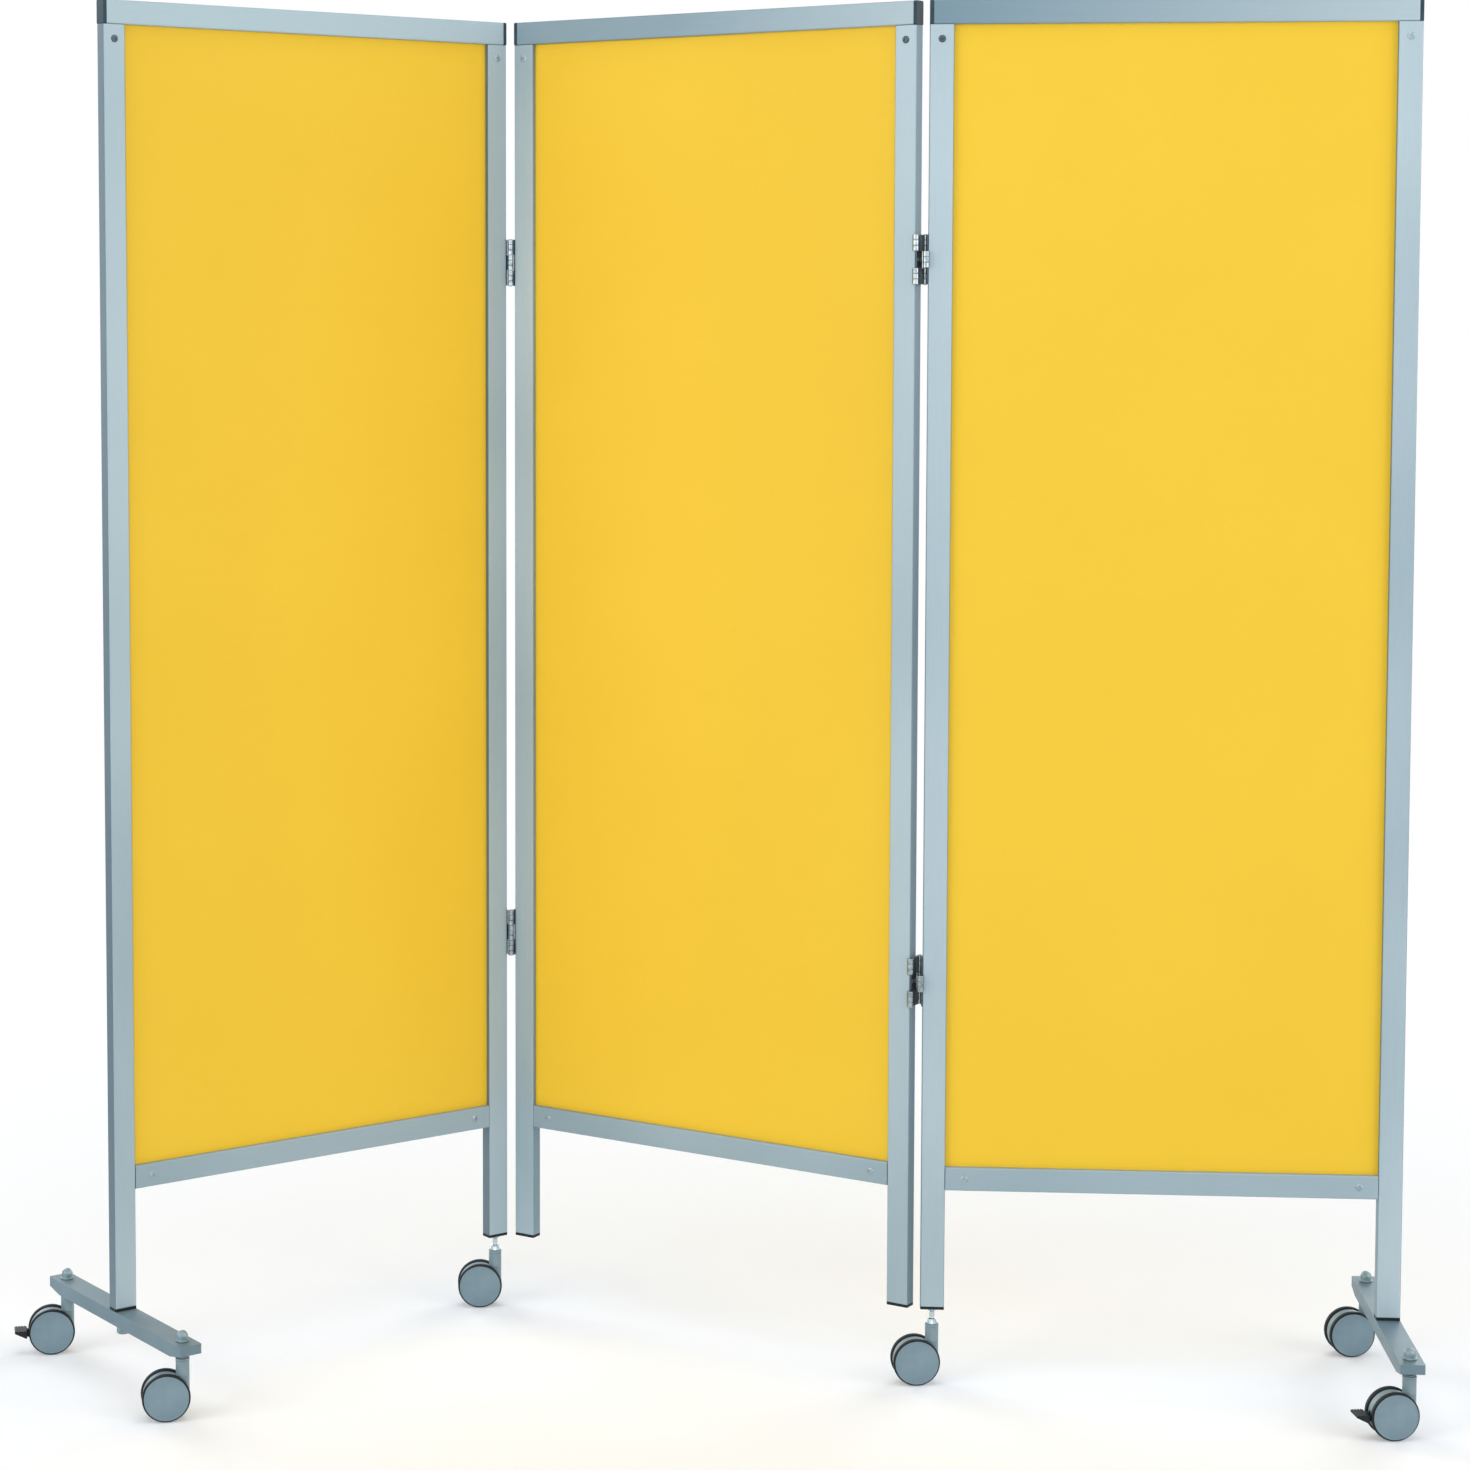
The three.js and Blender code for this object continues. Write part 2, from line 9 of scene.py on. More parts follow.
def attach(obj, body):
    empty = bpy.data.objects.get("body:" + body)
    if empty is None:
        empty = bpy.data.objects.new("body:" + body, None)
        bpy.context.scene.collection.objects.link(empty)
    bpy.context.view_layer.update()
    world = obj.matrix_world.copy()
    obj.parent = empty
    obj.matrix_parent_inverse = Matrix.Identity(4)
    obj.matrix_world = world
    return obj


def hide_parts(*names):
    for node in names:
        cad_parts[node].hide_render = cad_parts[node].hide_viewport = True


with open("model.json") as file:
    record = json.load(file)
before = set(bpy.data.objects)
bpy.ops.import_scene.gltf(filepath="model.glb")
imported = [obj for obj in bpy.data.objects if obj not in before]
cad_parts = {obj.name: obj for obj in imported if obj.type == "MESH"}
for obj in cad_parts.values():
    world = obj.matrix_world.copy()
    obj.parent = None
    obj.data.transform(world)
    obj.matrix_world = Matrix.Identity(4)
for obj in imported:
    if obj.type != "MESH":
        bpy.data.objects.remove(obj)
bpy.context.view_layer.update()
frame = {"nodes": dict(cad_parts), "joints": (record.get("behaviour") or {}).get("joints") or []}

scene = bpy.context.scene
nodes = frame["nodes"]
joints = {joint["name"]: joint for joint in frame["joints"]}
mm = 0.001
print("frame loaded:", len(nodes), "nodes")

# Sizes of the screen that several pieces share, in millimetres
panelSizes = {
    "width": 600,
    "face": 30,  # frame tube, seen from the front
    "depth": 18,
    "top": 1747,
    "lowerRail": 251,  # underside of the lower rail
    "foldNear": -3,  # hinge lines, along the panel
    "foldFar": 603,
    "foldFront": -4.5,  # and across it
    "foldBack": 22.5,
}

# Camera, as the photograph is framed
cameraSetup = {
    "place": (-0.2164, -4.1118, 1.3714),
    "pitch": 3.965,  # degrees below level
    "turn": -0.513,  # degrees to the left of straight back
    "lens": 79.49,
    "shiftRight": 0.12,
    "shiftUp": -0.14,
    "reach": 200,  # metres that the camera sees
}

camera = bpy.data.cameras.new("camera")
camera.lens = cameraSetup["lens"]
camera.shift_x = cameraSetup["shiftRight"]
camera.shift_y = cameraSetup["shiftUp"]
camera.clip_end = cameraSetup["reach"]
cameraObject = bpy.data.objects.new("camera", camera)
scene.collection.objects.link(cameraObject)
cameraObject.location = cameraSetup["place"]
cameraObject.rotation_euler = (
    math.radians(90 - cameraSetup["pitch"]), 0, math.radians(cameraSetup["turn"])
)
scene.camera = cameraObject
scene.view_settings.view_transform = "Standard"
print("camera placed")


# Colours are written as they look on a screen, 0 to 255
def paint(colour):
    def linear(value):
        share = value / 255
        return share / 12.92 if share <= 0.04045 else ((share + 0.055) / 1.055) ** 2.4

    return (*[linear(value) for value in colour], 1)


def setInputs(node, inputs):
    for key, value in inputs.items():
        node.inputs[key].default_value = value


def addNode(tree, kind, inputs=(), **settings):
    node = tree.nodes.new(kind)
    for key, value in settings.items():
        setattr(node, key, value)
    setInputs(node, dict(inputs))
    return node


broadDetail, grainDetail = 2.0, 4.0
noiseSpan = (0.3, 0.7)  # where most values of a noise lie
sideSpan = (0.5, 0.85)  # a face turns from front to narrow side between these


# Noise laid over a piece; stretch is how many times finer it is along x, y and z
def addNoise(tree, scale, stretch=(1, 1, 1), turn=0, detail=broadDetail):
    place = addNode(tree, "ShaderNodeTexCoord")
    mapping = addNode(tree, "ShaderNodeMapping", {
        "Rotation": (0, 0, math.radians(turn)), "Scale": tuple(1 / value for value in stretch),
    }, vector_type="TEXTURE")
    noise = addNode(tree, "ShaderNodeTexNoise", {"Scale": scale, "Detail": detail})
    tree.links.new(place.outputs["Object"], mapping.inputs["Vector"])
    tree.links.new(mapping.outputs["Vector"], noise.inputs["Vector"])
    return noise.outputs["Fac"]


def addRamp(tree, source, low, high, start=noiseSpan[0], end=noiseSpan[1]):
    ramp = addNode(tree, "ShaderNodeValToRGB")
    ramp.color_ramp.elements[0].position = start
    ramp.color_ramp.elements[1].position = end
    ramp.color_ramp.elements[0].color = low
    ramp.color_ramp.elements[1].color = high
    tree.links.new(source, ramp.inputs["Fac"])
    return ramp.outputs["Color"]


def addRange(tree, source, low, high, start=noiseSpan[0], end=noiseSpan[1]):
    span = addNode(tree, "ShaderNodeMapRange", {
        "From Min": start, "From Max": end, "To Min": low, "To Max": high})
    tree.links.new(source, span.inputs["Value"])
    return span.outputs["Result"]


def addProduct(tree, first, second=None):
    product = addNode(tree, "ShaderNodeMix", data_type="RGBA", blend_type="MULTIPLY")
    tree.links.new(first, product.inputs["A"])
    if second:
        tree.links.new(second, product.inputs["B"])
    return product


# Painted shade: darkens the faces that look along the panel, which are the narrow sides of its
# posts
def addPaintedSideShade(tree, colour, paintedShade, turn):
    place = addNode(tree, "ShaderNodeTexCoord")
    angle = math.radians(turn)
    along = addNode(tree, "ShaderNodeVectorMath", {
        1: (math.cos(angle), math.sin(angle), 0)}, operation="DOT_PRODUCT")
    facing = addNode(tree, "ShaderNodeMath", operation="ABSOLUTE")
    tree.links.new(place.outputs["Normal"], along.inputs[0])
    tree.links.new(along.outputs["Value"], facing.inputs[0])
    share = addRange(tree, facing.outputs["Value"], 0, 1, *sideSpan)
    shadedColour = addProduct(tree, colour)
    shadedColour.inputs["B"].default_value = paintedShade
    tree.links.new(share, shadedColour.inputs["Factor"])
    return shadedColour.outputs["Result"]


# How far to the right a point lies on a piece, from 0 to 1
def addAlong(tree):
    place = addNode(tree, "ShaderNodeTexCoord")
    split = addNode(tree, "ShaderNodeSeparateXYZ")
    tree.links.new(place.outputs["Generated"], split.inputs["Vector"])
    return split.outputs["X"]


# A finish with drifting tone, a fine grain in tone and gloss, and a bump of the same grain;
# painted light may drift from end to end instead, and painted shade may darken the narrow sides
def makeFinish(name, look, turn=0):
    material = bpy.data.materials.new(name)
    material.use_nodes = True
    tree = material.node_tree
    shader = tree.nodes["Principled BSDF"]
    setInputs(shader, {
        "Metallic": look.get("metallic", 0), "Specular IOR Level": look.get("specular", 0.5)})
    grainScale, grainDepth = look["grain"]
    fine = addNoise(tree, grainScale, look.get("stretch", (1, 1, 1)), turn, grainDetail)
    # painted light: the tone drifts from the left end of the piece to its right end
    if "along" in look:
        paintedLightEnds = paint(look["left"]), paint(look["right"])
        tone = addRamp(tree, addAlong(tree), *paintedLightEnds, *look["along"])
    else:
        drift = addNoise(tree, look["drift"], turn=turn)
        tone = addRamp(tree, drift, paint(look["dark"]), paint(look["light"]))
    grainTone = addRamp(tree, fine, (1 - grainDepth,) * 3 + (1,), (1, 1, 1, 1))
    both = addProduct(tree, tone, grainTone)
    both.inputs["Factor"].default_value = 1
    colour = both.outputs["Result"]
    # painted shade on the narrow sides of the posts
    if "paintedSideShade" in look:
        colour = addPaintedSideShade(tree, colour, look["paintedSideShade"], turn)
    tree.links.new(colour, shader.inputs["Base Color"])
    tree.links.new(addRange(tree, fine, *look["roughness"]), shader.inputs["Roughness"])
    strength, height = look["bump"]
    bump = addNode(tree, "ShaderNodeBump", {"Strength": strength, "Distance": height * mm})
    tree.links.new(fine, bump.inputs["Height"])
    tree.links.new(bump.outputs["Normal"], shader.inputs["Normal"])
    return material


# What every piece of brushed tube has in common
brushed = {"metallic": 0.22, "specular": 0.25, "roughness": (0.42, 0.56), "bump": (0.12, 0.05)}
# Per finish: its two tones, the scale at which they drift, the scale and depth of the grain,
# its stretch along x, y and z, and the strength and height in millimetres of the bump
finishes = {
    "aluminium": {  # satin anodised posts; the grain runs up them
        **brushed, "light": (184, 202, 210), "dark": (156, 177, 187),
        "drift": 1.6, "grain": (90, 0.08), "stretch": (22, 22, 0.25),
    },
    "rail": {  # the same tube laid across, which catches less light
        **brushed, "light": (170, 189, 198), "dark": (140, 162, 173),
        "drift": 1.6, "grain": (90, 0.06), "stretch": (0.25, 22, 22),
    },
    "topRail": {  # its tones, painted light that drifts along the rail, are set per panel, further down
        **brushed, "grain": (90, 0.09), "stretch": (0.25, 22, 22),
    },
    "foot": {
        "light": (116, 140, 151), "dark": (98, 122, 134), "metallic": 0.15,
        "roughness": (0.38, 0.52), "drift": 9, "grain": (700, 0.06), "bump": (0.2, 0.06),
    },
    "board": {  # smooth coated board with a very fine tooth
        "light": (243, 201, 54), "dark": (241, 198, 51), "specular": 0.25,
        "roughness": (0.5, 0.6), "drift": 3.5, "grain": (1500, 0.02), "bump": (0.08, 0.03),
    },
    "cap": {
        "light": (58, 78, 88), "dark": (48, 67, 77), "specular": 0.14,
        "roughness": (0.45, 0.58), "drift": 60, "grain": (1800, 0.08), "bump": (0.25, 0.05),
    },
    "blackPlastic": {
        "light": (20, 30, 37), "dark": (10, 18, 24), "specular": 0.28,
        "roughness": (0.42, 0.58), "drift": 80, "grain": (2200, 0.15), "bump": (0.3, 0.05),
    },
    "hood": {  # grey moulded plastic of the castors
        "light": (136, 158, 166), "dark": (122, 145, 154), "specular": 0.45,
        "roughness": (0.38, 0.5), "drift": 40, "grain": (2400, 0.05), "bump": (0.18, 0.04),
    },
    "wheelCover": {
        "light": (127, 151, 162), "dark": (115, 140, 152),
        "roughness": (0.3, 0.42), "drift": 35, "grain": (2400, 0.04), "bump": (0.12, 0.03),
    },
    "tyre": {  # rubber, greyer where dust has settled
        "light": (25, 34, 41), "dark": (8, 14, 19), "specular": 0.28,
        "roughness": (0.45, 0.7), "drift": 110, "grain": (1600, 0.25), "bump": (0.35, 0.08),
    },
    "chrome": {
        "light": (205, 216, 221), "dark": (178, 192, 199), "metallic": 1,
        "roughness": (0.12, 0.22), "drift": 120, "grain": (1500, 0.05), "stretch": (1, 1, 8),
        "bump": (0.05, 0.02),
    },
    "hingeSteel": {  # drawn barrels, polished, with rings left by the drawing
        "light": (176, 187, 193), "dark": (122, 135, 142), "metallic": 1,
        "roughness": (0.14, 0.26), "drift": 150, "grain": (500, 0.12), "stretch": (1, 1, 9),
        "bump": (0.12, 0.03),
    },
    "hingeLeaf": {  # plates and straps, dull plated, and painted dark as the shade in the gap between the posts
        "light": (92, 104, 110), "dark": (62, 74, 80), "metallic": 0.5,
        "roughness": (0.38, 0.52), "drift": 120, "grain": (1600, 0.12), "bump": (0.12, 0.03),
    },
    # screws painted dark as shade; their shape is that of the others
    "shadedScrew": {
        "light": (84, 97, 104), "dark": (56, 69, 76), "metallic": 0.6,
        "roughness": (0.3, 0.45), "drift": 300, "grain": (2500, 0.12), "bump": (0.15, 0.03),
    },
    "screwSteel": {
        "light": (174, 191, 199), "dark": (142, 161, 170), "metallic": 0.45,
        "roughness": (0.24, 0.36), "drift": 300, "grain": (2500, 0.12), "bump": (0.15, 0.03),
    },
    "zinc": {
        "light": (140, 162, 168), "dark": (116, 139, 146), "metallic": 0.45,
        "roughness": (0.32, 0.46), "drift": 160, "grain": (1800, 0.08), "bump": (0.1, 0.03),
    },
}


# Geometry helpers. Meshes are drawn in millimetres and made in metres.
meshLimits = {"weld": 1e-7, "sliver": 2e-7, "level": 1e-9}  # metres
cornerShare = 0.49  # of an edge that one rounded corner may take
onAxis = 1e-6  # a radius below this is a point on the axis
cutPast = 1  # how far a cut reaches past a surface
sidesOf = {"pin": 24, "screw": 32, "barrel": 40, "stem": 48, "neck": 56, "wheel": 96}


# Rounds the corners of a path; a corner is (a, b) or (a, b, radius)
def rounded(points, closed=True, steps=4):
    path = []
    last = len(points) - 1
    for i, point in enumerate(points):
        corner = Vector(point[:2])
        radius = point[2] if len(point) > 2 else 0
        if radius == 0 or (not closed and i in (0, last)):
            path.append(tuple(corner))
            continue
        before = Vector(points[i - 1][:2]) - corner
        after = Vector(points[0 if i == last else i + 1][:2]) - corner
        half = before.angle(after) / 2
        reach = min(
            radius / math.tan(half), before.length * cornerShare, after.length * cornerShare)
        middle = (before.normalized() + after.normalized()).normalized()
        centre = corner + middle * (reach / math.cos(half))
        start = corner + before.normalized() * reach - centre
        end = corner + after.normalized() * reach - centre
        swing = math.atan2(start.x * end.y - start.y * end.x, start.dot(end))
        for step in range(steps + 1):
            turned = Matrix.Rotation(swing * step / steps, 2) @ start
            path.append(tuple(centre + turned))
    return path


def arc(centreA, centreB, radius, start, end, steps):
    angles = [math.radians(start + (end - start) * i / steps) for i in range(steps + 1)]
    return [(centreA + radius * math.cos(a), centreB + radius * math.sin(a)) for a in angles]


# The six corners of a hexagon, from the one at the start angle on
def hexagon(radius, start=0):
    return arc(0, 0, radius, start, start + 300, steps=5)


def shift(x, y, z):
    return Matrix.Translation((x * mm, y * mm, z * mm))


def meshFrom(name, builder):
    bmesh.ops.remove_doubles(builder, verts=builder.verts, dist=meshLimits["weld"])
    bmesh.ops.recalc_face_normals(builder, faces=builder.faces)
    mesh = bpy.data.meshes.new(name)
    builder.to_mesh(mesh)
    builder.free()
    return mesh


def addRing(builder, radius, height, sides, scale=mm):
    angles = [2 * math.pi * i / sides for i in range(sides)]
    return [
        builder.verts.new(
            (radius * math.cos(a) * scale, radius * math.sin(a) * scale, height * scale))
        for a in angles
    ]


# Turns (radius, height) points about z; a path that never meets the axis closes on itself
def turnedMesh(name, path, sides=sidesOf["stem"]):
    builder = bmesh.new()
    rings = []
    for radius, height in path:
        if radius < onAxis:
            rings.append([builder.verts.new((0, 0, height * mm))])
        else:
            rings.append(addRing(builder, radius, height, sides))
    pairs = list(zip(rings, rings[1:]))
    if len(rings[0]) > 1:
        pairs.append((rings[-1], rings[0]))
    for lower, upper in pairs:
        for i in range(sides):
            j = (i + 1) % sides
            corners = [lower[i % len(lower)], lower[j % len(lower)]]
            corners += [upper[j % len(upper)], upper[i % len(upper)]]
            corners = list(dict.fromkeys(corners))
            if len(corners) > 2:
                builder.faces.new(corners)
    return meshFrom(name, builder)


def rodMesh(name, radius, low, high, sides):
    return turnedMesh(name, [(0, low), (radius, low), (radius, high), (0, high)], sides)


# A prism on an outline in the xy plane, with its rims rounded by edge
def prismMesh(name, outline, low, high, edge=0, steps=3):
    builder = bmesh.new()
    bottom = [builder.verts.new((x * mm, y * mm, low * mm)) for x, y in outline]
    top = [builder.verts.new((x * mm, y * mm, high * mm)) for x, y in outline]
    builder.faces.new(bottom)
    builder.faces.new(top)
    for i in range(len(outline)):
        j = (i + 1) % len(outline)
        builder.faces.new((bottom[i], bottom[j], top[j], top[i]))
    bmesh.ops.recalc_face_normals(builder, faces=builder.faces)
    if edge:
        rims = [
            one for one in builder.edges
            if abs(one.verts[0].co.z - one.verts[1].co.z) < meshLimits["level"]
        ]
        bmesh.ops.bevel(
            builder, geom=rims, offset=edge * mm, segments=steps, profile=0.5,
            affect="EDGES", clamp_overlap=True,
        )
    return meshFrom(name, builder)


def boxOutline(left, right, front, back, radius=0):
    return rounded([(left, front, radius), (right, front, radius),
                    (right, back, radius), (left, back, radius)])


# Joins or cuts closed meshes into one clean solid
def combined(name, first, others, operation="UNION"):
    whole = bpy.data.objects.new(name, first)
    scene.collection.objects.link(whole)
    helpers = []
    for other in others:
        helper = bpy.data.objects.new("helper", other)
        scene.collection.objects.link(helper)
        step = whole.modifiers.new("combine", "BOOLEAN")
        step.operation = operation
        step.solver = "EXACT"
        step.object = helper
        helpers.append(helper)
    evaluated = whole.evaluated_get(bpy.context.evaluated_depsgraph_get())
    builder = bmesh.new()
    builder.from_mesh(evaluated.to_mesh())
    evaluated.to_mesh_clear()
    for helper in [*helpers, whole]:
        bpy.data.objects.remove(helper)
    bmesh.ops.dissolve_degenerate(builder, dist=meshLimits["sliver"], edges=builder.edges)
    return meshFrom(name, builder)


# Several loose solids as one mesh, for pieces such as a set of screws
def gathered(name, meshes, places=None):
    builder = bmesh.new()
    for i, mesh in enumerate(meshes):
        copy = mesh.copy()
        copy.transform(places[i] if places else Matrix.Identity(4))
        builder.from_mesh(copy)
        bpy.data.meshes.remove(copy)
    mesh = bpy.data.meshes.new(name)
    builder.to_mesh(mesh)
    builder.free()
    return mesh


# Gives a mesh its material; edges sharper than the crease stay sharp
def dressed(mesh, material, crease=32):
    mesh.materials.clear()
    mesh.materials.append(material)
    mesh.shade_smooth()
    mesh.set_sharp_from_angle(angle=math.radians(crease))
    return mesh


# Keeps wide flat faces flat in the shading, beside rounded edges
def flattened(piece):
    normals = piece.modifiers.new("normals", "WEIGHTED_NORMAL")
    normals.keep_sharp = True
    normals.weight = 100


def addPiece(name, mesh, place, body, replaced=()):
    piece = bpy.data.objects.new(name, mesh)
    scene.collection.objects.link(piece)
    piece.matrix_world = place
    flattened(piece)
    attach(piece, body)
    if replaced:
        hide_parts(*replaced)


lyingAcross = Matrix.Rotation(math.radians(-90), 4, "X")  # z to y
sideOutline = Matrix.Rotation(math.radians(90), 4, "X")  # an xy outline stands up in xz
roundCrease = 40  # degrees, for pieces with coarse curves


# Where the panels stand, from the joints that the frame carries
def placeThrough(turn, ownX, ownY, point):
    rotation = Matrix.Rotation(turn, 4, "Z")
    own = rotation @ Vector((ownX * mm, ownY * mm, 0))
    return Matrix.Translation((point[0] - own.x, point[1] - own.y, 0)) @ rotation


def heading(start, end, ownX, ownY):
    return math.atan2(end[1] - start[1], end[0] - start[0]) - math.atan2(ownY, ownX)


def footHeading(side):
    front = joints[f"{side}_front_swivel"]["pos_m"]
    return heading(front, joints[f"{side}_back_swivel"]["pos_m"], 0, 1)


leftFold = joints["left_fold"]["pos_m"]
rightFold = joints["right_fold"]["pos_m"]
foldNear, foldFar = panelSizes["foldNear"], panelSizes["foldFar"]
foldFront, foldBack = panelSizes["foldFront"], panelSizes["foldBack"]
panelTurns = {
    "left": footHeading("left"),
    "middle": heading(leftFold, rightFold, foldFar - foldNear, foldBack - foldFront),
    "right": footHeading("right"),
}
panelPlaces = {
    "left": placeThrough(panelTurns["left"], foldFar, foldFront, leftFold),
    "middle": placeThrough(panelTurns["middle"], foldNear, foldFront, leftFold),
    "right": placeThrough(panelTurns["right"], foldNear, foldBack, rightFold),
}
print("panels stand at", [round(math.degrees(turn), 1) for turn in panelTurns.values()])


# Edges and finishes of the pieces that keep their CAD shape
edgeRules = {"weld": 0.00001, "bevelAbove": 50, "creaseAbove": 30}  # metres, degrees
edgeWidths = {"frame": 0.35, "board": 0.4, "cap": 0.5, "plug": 0.5, "foot": 0.8}

# Painted shade on the narrow sides of the posts, per panel: the share of red, green and blue
# that they keep
paintedSideShades = {
    "left": (0.36, 0.41, 0.44, 1),
    "middle": (0.64, 0.69, 0.72, 1),
    "right": (0.48, 0.53, 0.56, 1),
}

# Painted light on the top rails: their tone at both ends, lighter to the right on two panels,
# and the shares of their length between which it drifts
topRailPaintedLight = {
    "left": {"left": (169, 190, 197), "right": (168, 189, 200), "along": (0, 1)},
    "middle": {"left": (131, 154, 166), "right": (167, 185, 193), "along": (0.4, 1)},
    "right": {"left": (117, 143, 157), "right": (175, 194, 201), "along": (0, 1)},
}


def makeCrispShading():
    tree = bpy.data.node_groups.new("crispShading", "GeometryNodeTree")
    for direction in ("INPUT", "OUTPUT"):
        tree.interface.new_socket(
            "Geometry", in_out=direction, socket_type="NodeSocketGeometry")
    start = addNode(tree, "NodeGroupInput")
    smooth = addNode(tree, "GeometryNodeSetShadeSmooth", {"Shade Smooth": True}, domain="FACE")
    sharp = addNode(tree, "GeometryNodeSetShadeSmooth", {"Shade Smooth": False}, domain="EDGE")
    end = addNode(tree, "NodeGroupOutput")
    angle = addNode(tree, "GeometryNodeInputMeshEdgeAngle")
    wide = addNode(tree, "FunctionNodeCompare", data_type="FLOAT", operation="GREATER_THAN")
    wide.inputs["B"].default_value = math.radians(edgeRules["creaseAbove"])
    for first, second in ((start, smooth), (smooth, sharp), (sharp, end)):
        tree.links.new(first.outputs["Geometry"], second.inputs["Geometry"])
    tree.links.new(angle.outputs["Unsigned Angle"], wide.inputs["A"])
    tree.links.new(wide.outputs["Result"], sharp.inputs["Selection"])
    return tree


crispShading = makeCrispShading()


# Rounds the edges of a CAD piece and gives it its finish
def dressNode(name, kind, material, segments=2):
    node = nodes[name]
    weld = node.modifiers.new("weld", "WELD")
    weld.merge_threshold = edgeRules["weld"]
    bevel = node.modifiers.new("edges", "BEVEL")
    bevel.width = edgeWidths[kind] * mm
    bevel.segments = segments
    bevel.limit_method = "ANGLE"
    bevel.angle_limit = math.radians(edgeRules["bevelAbove"])
    shading = node.modifiers.new("shading", "NODES")
    shading.node_group = crispShading
    flattened(node)
    for one in node.material_slots:
        one.material = material


boardCoating = makeFinish("boardCoating", finishes["board"])
capPlastic = makeFinish("capPlastic", finishes["cap"])
blackPlastic = makeFinish("blackPlastic", finishes["blackPlastic"])
footPaint = makeFinish("footPaint", finishes["foot"])

for side in panelPlaces:
    turn = math.degrees(panelTurns[side])
    panel = f"{side}_panel"
    # the posts carry painted shade on their narrow sides
    postLook = {**finishes["aluminium"], "paintedSideShade": paintedSideShades[side]}
    postFinish = makeFinish(f"{side}_post_aluminium", postLook, turn)
    paintedLightTopLook = {**finishes["topRail"], **topRailPaintedLight[side]}
    for rail, look in (("top_rail", paintedLightTopLook), ("lower_rail", finishes["rail"])):
        railFinish = makeFinish(f"{side}_{rail}_aluminium", look, turn)
        dressNode(f"{panel}_{rail}", "frame", railFinish)
    dressNode(f"{panel}_board", "board", boardCoating)
    for end in ("left", "right"):
        dressNode(f"{panel}_{end}_post", "frame", postFinish)
        dressNode(f"{panel}_{end}_cap", "cap", capPlastic)
        dressNode(f"{panel}_{end}_plug", "plug", blackPlastic)
for side in ("left", "right"):
    dressNode(f"{side}_foot_bar", "foot", footPaint, segments=3)
print("frames, boards, caps, plugs and feet coated")


# Screws that hold the frames together, with a hexagon socket; drawn facing -y at the origin
screwSizes = {
    "radius": 4.7, "proud": 1.1, "sunk": 1.2, "socket": 2.6, "socketDepth": 1,
    "belowTop": 48, "besidePost": 24,
}
screwHead = {"rimShare": 0.4, "rimRound": 0.5, "crownShare": 0.72, "crownRound": 0.8}
shadedScrewPosts = {"left": "left", "middle": "right", "right": "left"}  # posts whose upper screws are painted dark, as shade


def screwMesh(sizes, name="screw"):
    radius, proud = sizes["radius"], sizes["proud"]
    head = turnedMesh(name, rounded([
        (0, -sizes["sunk"]), (radius, -sizes["sunk"]),
        (radius, proud * screwHead["rimShare"], screwHead["rimRound"]),
        (radius * screwHead["crownShare"], proud, screwHead["crownRound"]), (0, proud),
    ], closed=False), sidesOf["screw"])
    socket = prismMesh(
        "socket", hexagon(sizes["socket"]), proud - sizes["socketDepth"], proud + cutPast)
    mesh = combined(name, head, [socket], "DIFFERENCE")
    mesh.transform(sideOutline)
    return mesh


screwSteel = makeFinish("screwSteel", finishes["screwSteel"])
shadedScrewSteel = makeFinish("shadedScrewSteel", finishes["shadedScrew"])
frameScrew = screwMesh(screwSizes)
halfTurn = Matrix.Rotation(math.pi, 4, "Z")
postX = panelSizes["face"] / 2
railX = panelSizes["face"] + screwSizes["besidePost"]
postZ = panelSizes["top"] - screwSizes["belowTop"]
railZ = panelSizes["lowerRail"] + panelSizes["face"] / 2
for side, place in panelPlaces.items():
    spots = {"screws": [], "socket_screws": []}
    for kind, x, z in (("post", postX, postZ), ("rail", railX, railZ)):
        for end, along in (("left", x), ("right", panelSizes["width"] - x)):
            # painted shade: the upper screws on these posts take the dark finish
            dark = kind == "post" and end == shadedScrewPosts[side]
            spots["socket_screws" if dark else "screws"] += [
                shift(along, 0, z), shift(along, panelSizes["depth"], z) @ halfTurn,
            ]
    for label, finish in (("screws", screwSteel), ("socket_screws", shadedScrewSteel)):
        name = f"{side}_panel_{label}"
        mesh = gathered(name, [frameScrew] * len(spots[label]), spots[label])
        addPiece(name, dressed(mesh, finish), place, f"{side}_panel")
print("frame screws set")


# Hinge leaves: a plate on the post, straps across the gap and two barrels on every knuckle
hingeSizes = {
    "levels": {"upper": 1427, "lower": 517},
    "height": 62, "knuckles": 3, "gap": 0.3, "middle": 3,
    "plateStart": 0.3, "plateThick": 1.4, "plateInset": 1.5, "plateCorner": 2,
    "plateRound": 0.25, "strapEnd": 3.6, "strapRound": 0.2,
    "barrel": 4.2, "barrelRound": 0.5, "polishReach": 0.1,
    "rings": 2, "ringWidth": 1.2, "ringDepth": 0.6, "ringRound": 0.2, "grooveWidth": 0.2,
    "pin": 2, "pinHead": 0.8, "pinRound": 0.7,
    "screwRise": 21, "screwShares": (0.3, 0.7),  # of the depth of the post
}
hingeScrew = {"radius": 2.6, "proud": 0.4, "sunk": 0.5, "socket": 1.2, "socketDepth": 0.7}
hingeKinds = {
    "left": {"a": ("left", "inner", "right"), "b": ("middle", "outer", "left")},
    "right": {"a": ("middle", "outer", "right"), "b": ("right", "inner", "left")},
}
hingeSteel = makeFinish("hingeSteel", finishes["hingeSteel"])
hingeLeafSteel = makeFinish("hingeLeafSteel", finishes["hingeLeaf"])


